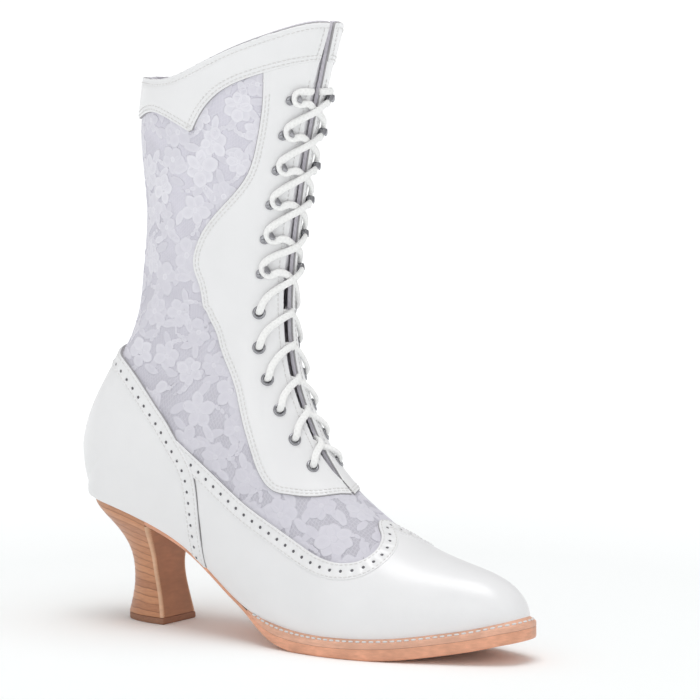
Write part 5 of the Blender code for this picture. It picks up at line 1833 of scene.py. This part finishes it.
class BootLooks(bpy.types.PropertyGroup):
    """Colours, light, camera and spacing that a user would change"""
    leather: colour("#ebebec", "Leather", "Finished white leather")
    ground: colour("#d4d2dc", "Ground", "Cloth under the lace")
    motif: colour("#e9e8ee", "Lace", "Worked flowers and leaves")
    lining: colour("#dedbe2", "Lining", "Twill inside the boot")
    tongue: colour("#f0eff2", "Tongue", "Twill of the tongue")
    # grey of the cut edges, darkened as painted shade along the panels' edges
    raw_edge_and_shade: colour("#a9a7a9", "Raw edge", "Cut edges of the white leather")
    thread: colour("#e6e5e4", "Thread", "Sewing thread")
    # painted shade at the floor of the eyelets' and the punched holes, with the bands' dark underlay
    underlay_and_hole_shade: colour("#6f6e72", "Backing", "Dark cloth behind the punched holes")
    sole: colour("#dfa283", "Sole", "Edge of the outsole")
    underside: colour("#97877c", "Underside", "Worn underside of the outsole")
    welt: colour("#deab91", "Welt", "Welt round the forefoot")
    cut_edge: colour("#d8b090", "Cut edge", "Pale cut edges of the breast cover")
    heel_light: colour("#cd9168", "Light layers", "Lighter layers of the heel")
    heel_dark: colour("#ab7250", "Dark layers", "Darker layers of the heel")
    breast: colour("#ad7957", "Breast", "Cover on the front of the heel")
    lift: colour("#9c7058", "Top lift", "Rubber under the heel")
    nickel: colour("#9a9a9e", "Nickel", "Eyelets and hooks")
    cord: colour("#f6f6f5", "Lace cord", "Boot lace")
    floor: colour("#fdffff", "Floor", "Studio floor")
    insole: colour("#d2bda0", "Insole", "Leather sock inside")
    surround: bpy.props.FloatProperty(name="Surround", description="Brightness of the studio", default=0.55,
                                      min=0.0)
    front: bpy.props.FloatProperty(name="Front", description="Brightness of the studio before the boot",
                                   default=0.74, min=0.0)
    key: bpy.props.FloatProperty(name="Key light", description="Power of the main lamp in watts",
                                 default=55.0, min=0.0, unit="POWER")
    azimuth: bpy.props.FloatProperty(name="Azimuth", description="Camera's turn round the boot",
                                     subtype="ANGLE", default=math.radians(35.0))
    elevation: bpy.props.FloatProperty(name="Elevation", description="Camera's height over the horizon",
                                       subtype="ANGLE", default=math.radians(5.5))
    distance: length(1700.0, "Distance", "From the camera to the boot")
    lens: bpy.props.FloatProperty(name="Lens", description="Focal length in millimetres", default=170.05,
                                  min=1.0)
    flower: length(15.0, "Flower spacing", "Least distance between two flowers of the lace")


class BOOT_OT_stage(bpy.types.Operator):
    """Floor, light and camera"""
    bl_idname = "boot.stage"
    bl_label = "Stage"

    def execute(self, context):
        floor_and_light(context.scene.boot_looks)
        return {"FINISHED"}


class BOOT_OT_upper(bpy.types.Operator):
    """Wall, lace flowers and tongue"""
    bl_idname = "boot.upper"
    bl_label = "Upper"

    def execute(self, context):
        build_upper(context.scene.boot_looks)
        build_lace(context.scene.boot_looks)
        build_tongue(context.scene.boot_looks)
        return {"FINISHED"}


class BOOT_OT_panels(bpy.types.Operator):
    """Leather panels"""
    bl_idname = "boot.panels"
    bl_label = "Panels"

    def execute(self, context):
        build_panels(context.scene.boot_looks)
        return {"FINISHED"}


class BOOT_OT_bands(bpy.types.Operator):
    """Punched bands and stitches"""
    bl_idname = "boot.bands"
    bl_label = "Bands and stitches"

    def execute(self, context):
        build_bands(context.scene.boot_looks)
        build_stitches(context.scene.boot_looks)
        return {"FINISHED"}


class BOOT_OT_lacing(bpy.types.Operator):
    """Eyelets, hooks and lace"""
    bl_idname = "boot.lacing"
    bl_label = "Lacing"

    def execute(self, context):
        build_eyelets(context.scene.boot_looks)
        build_hooks(context.scene.boot_looks)
        build_lace_cord(context.scene.boot_looks)
        return {"FINISHED"}


class BOOT_OT_sole(bpy.types.Operator):
    """Welt, outsole and insole"""
    bl_idname = "boot.sole"
    bl_label = "Sole"

    def execute(self, context):
        build_welt(context.scene.boot_looks)
        build_outsole(context.scene.boot_looks)
        finish_insole(context.scene.boot_looks)
        return {"FINISHED"}


class BOOT_OT_heel(bpy.types.Operator):
    """Stacked heel, breast cover and top lift"""
    bl_idname = "boot.heel"
    bl_label = "Heel"

    def execute(self, context):
        build_heel(context.scene.boot_looks)
        build_breast(context.scene.boot_looks)
        build_top_lift(context.scene.boot_looks)
        return {"FINISHED"}


OPERATORS = (BOOT_OT_stage, BOOT_OT_upper, BOOT_OT_panels, BOOT_OT_bands, BOOT_OT_lacing, BOOT_OT_sole,
             BOOT_OT_heel)


class BOOT_PT_looks(bpy.types.Panel):
    """Lists the boot's pieces"""
    bl_idname = "BOOT_PT_looks"
    bl_label = "Boot"
    bl_space_type = "VIEW_3D"
    bl_region_type = "UI"
    bl_category = "Boot"

    def draw(self, context):
        for operator in OPERATORS:
            self.layout.operator(operator.bl_idname)


CLASSES = (BootLooks, *OPERATORS, BOOT_PT_looks)


def register():
    for item in CLASSES:
        bpy.utils.register_class(item)
    bpy.types.Scene.boot_looks = bpy.props.PointerProperty(type=BootLooks)


def unregister():
    del bpy.types.Scene.boot_looks
    for item in reversed(CLASSES):
        bpy.utils.unregister_class(item)


def main():
    register()
    bpy.ops.boot.stage()
    bpy.ops.boot.upper()
    bpy.ops.boot.panels()
    bpy.ops.boot.bands()
    bpy.ops.boot.lacing()
    bpy.ops.boot.sole()
    bpy.ops.boot.heel()


if __name__ == "__main__":
    main()
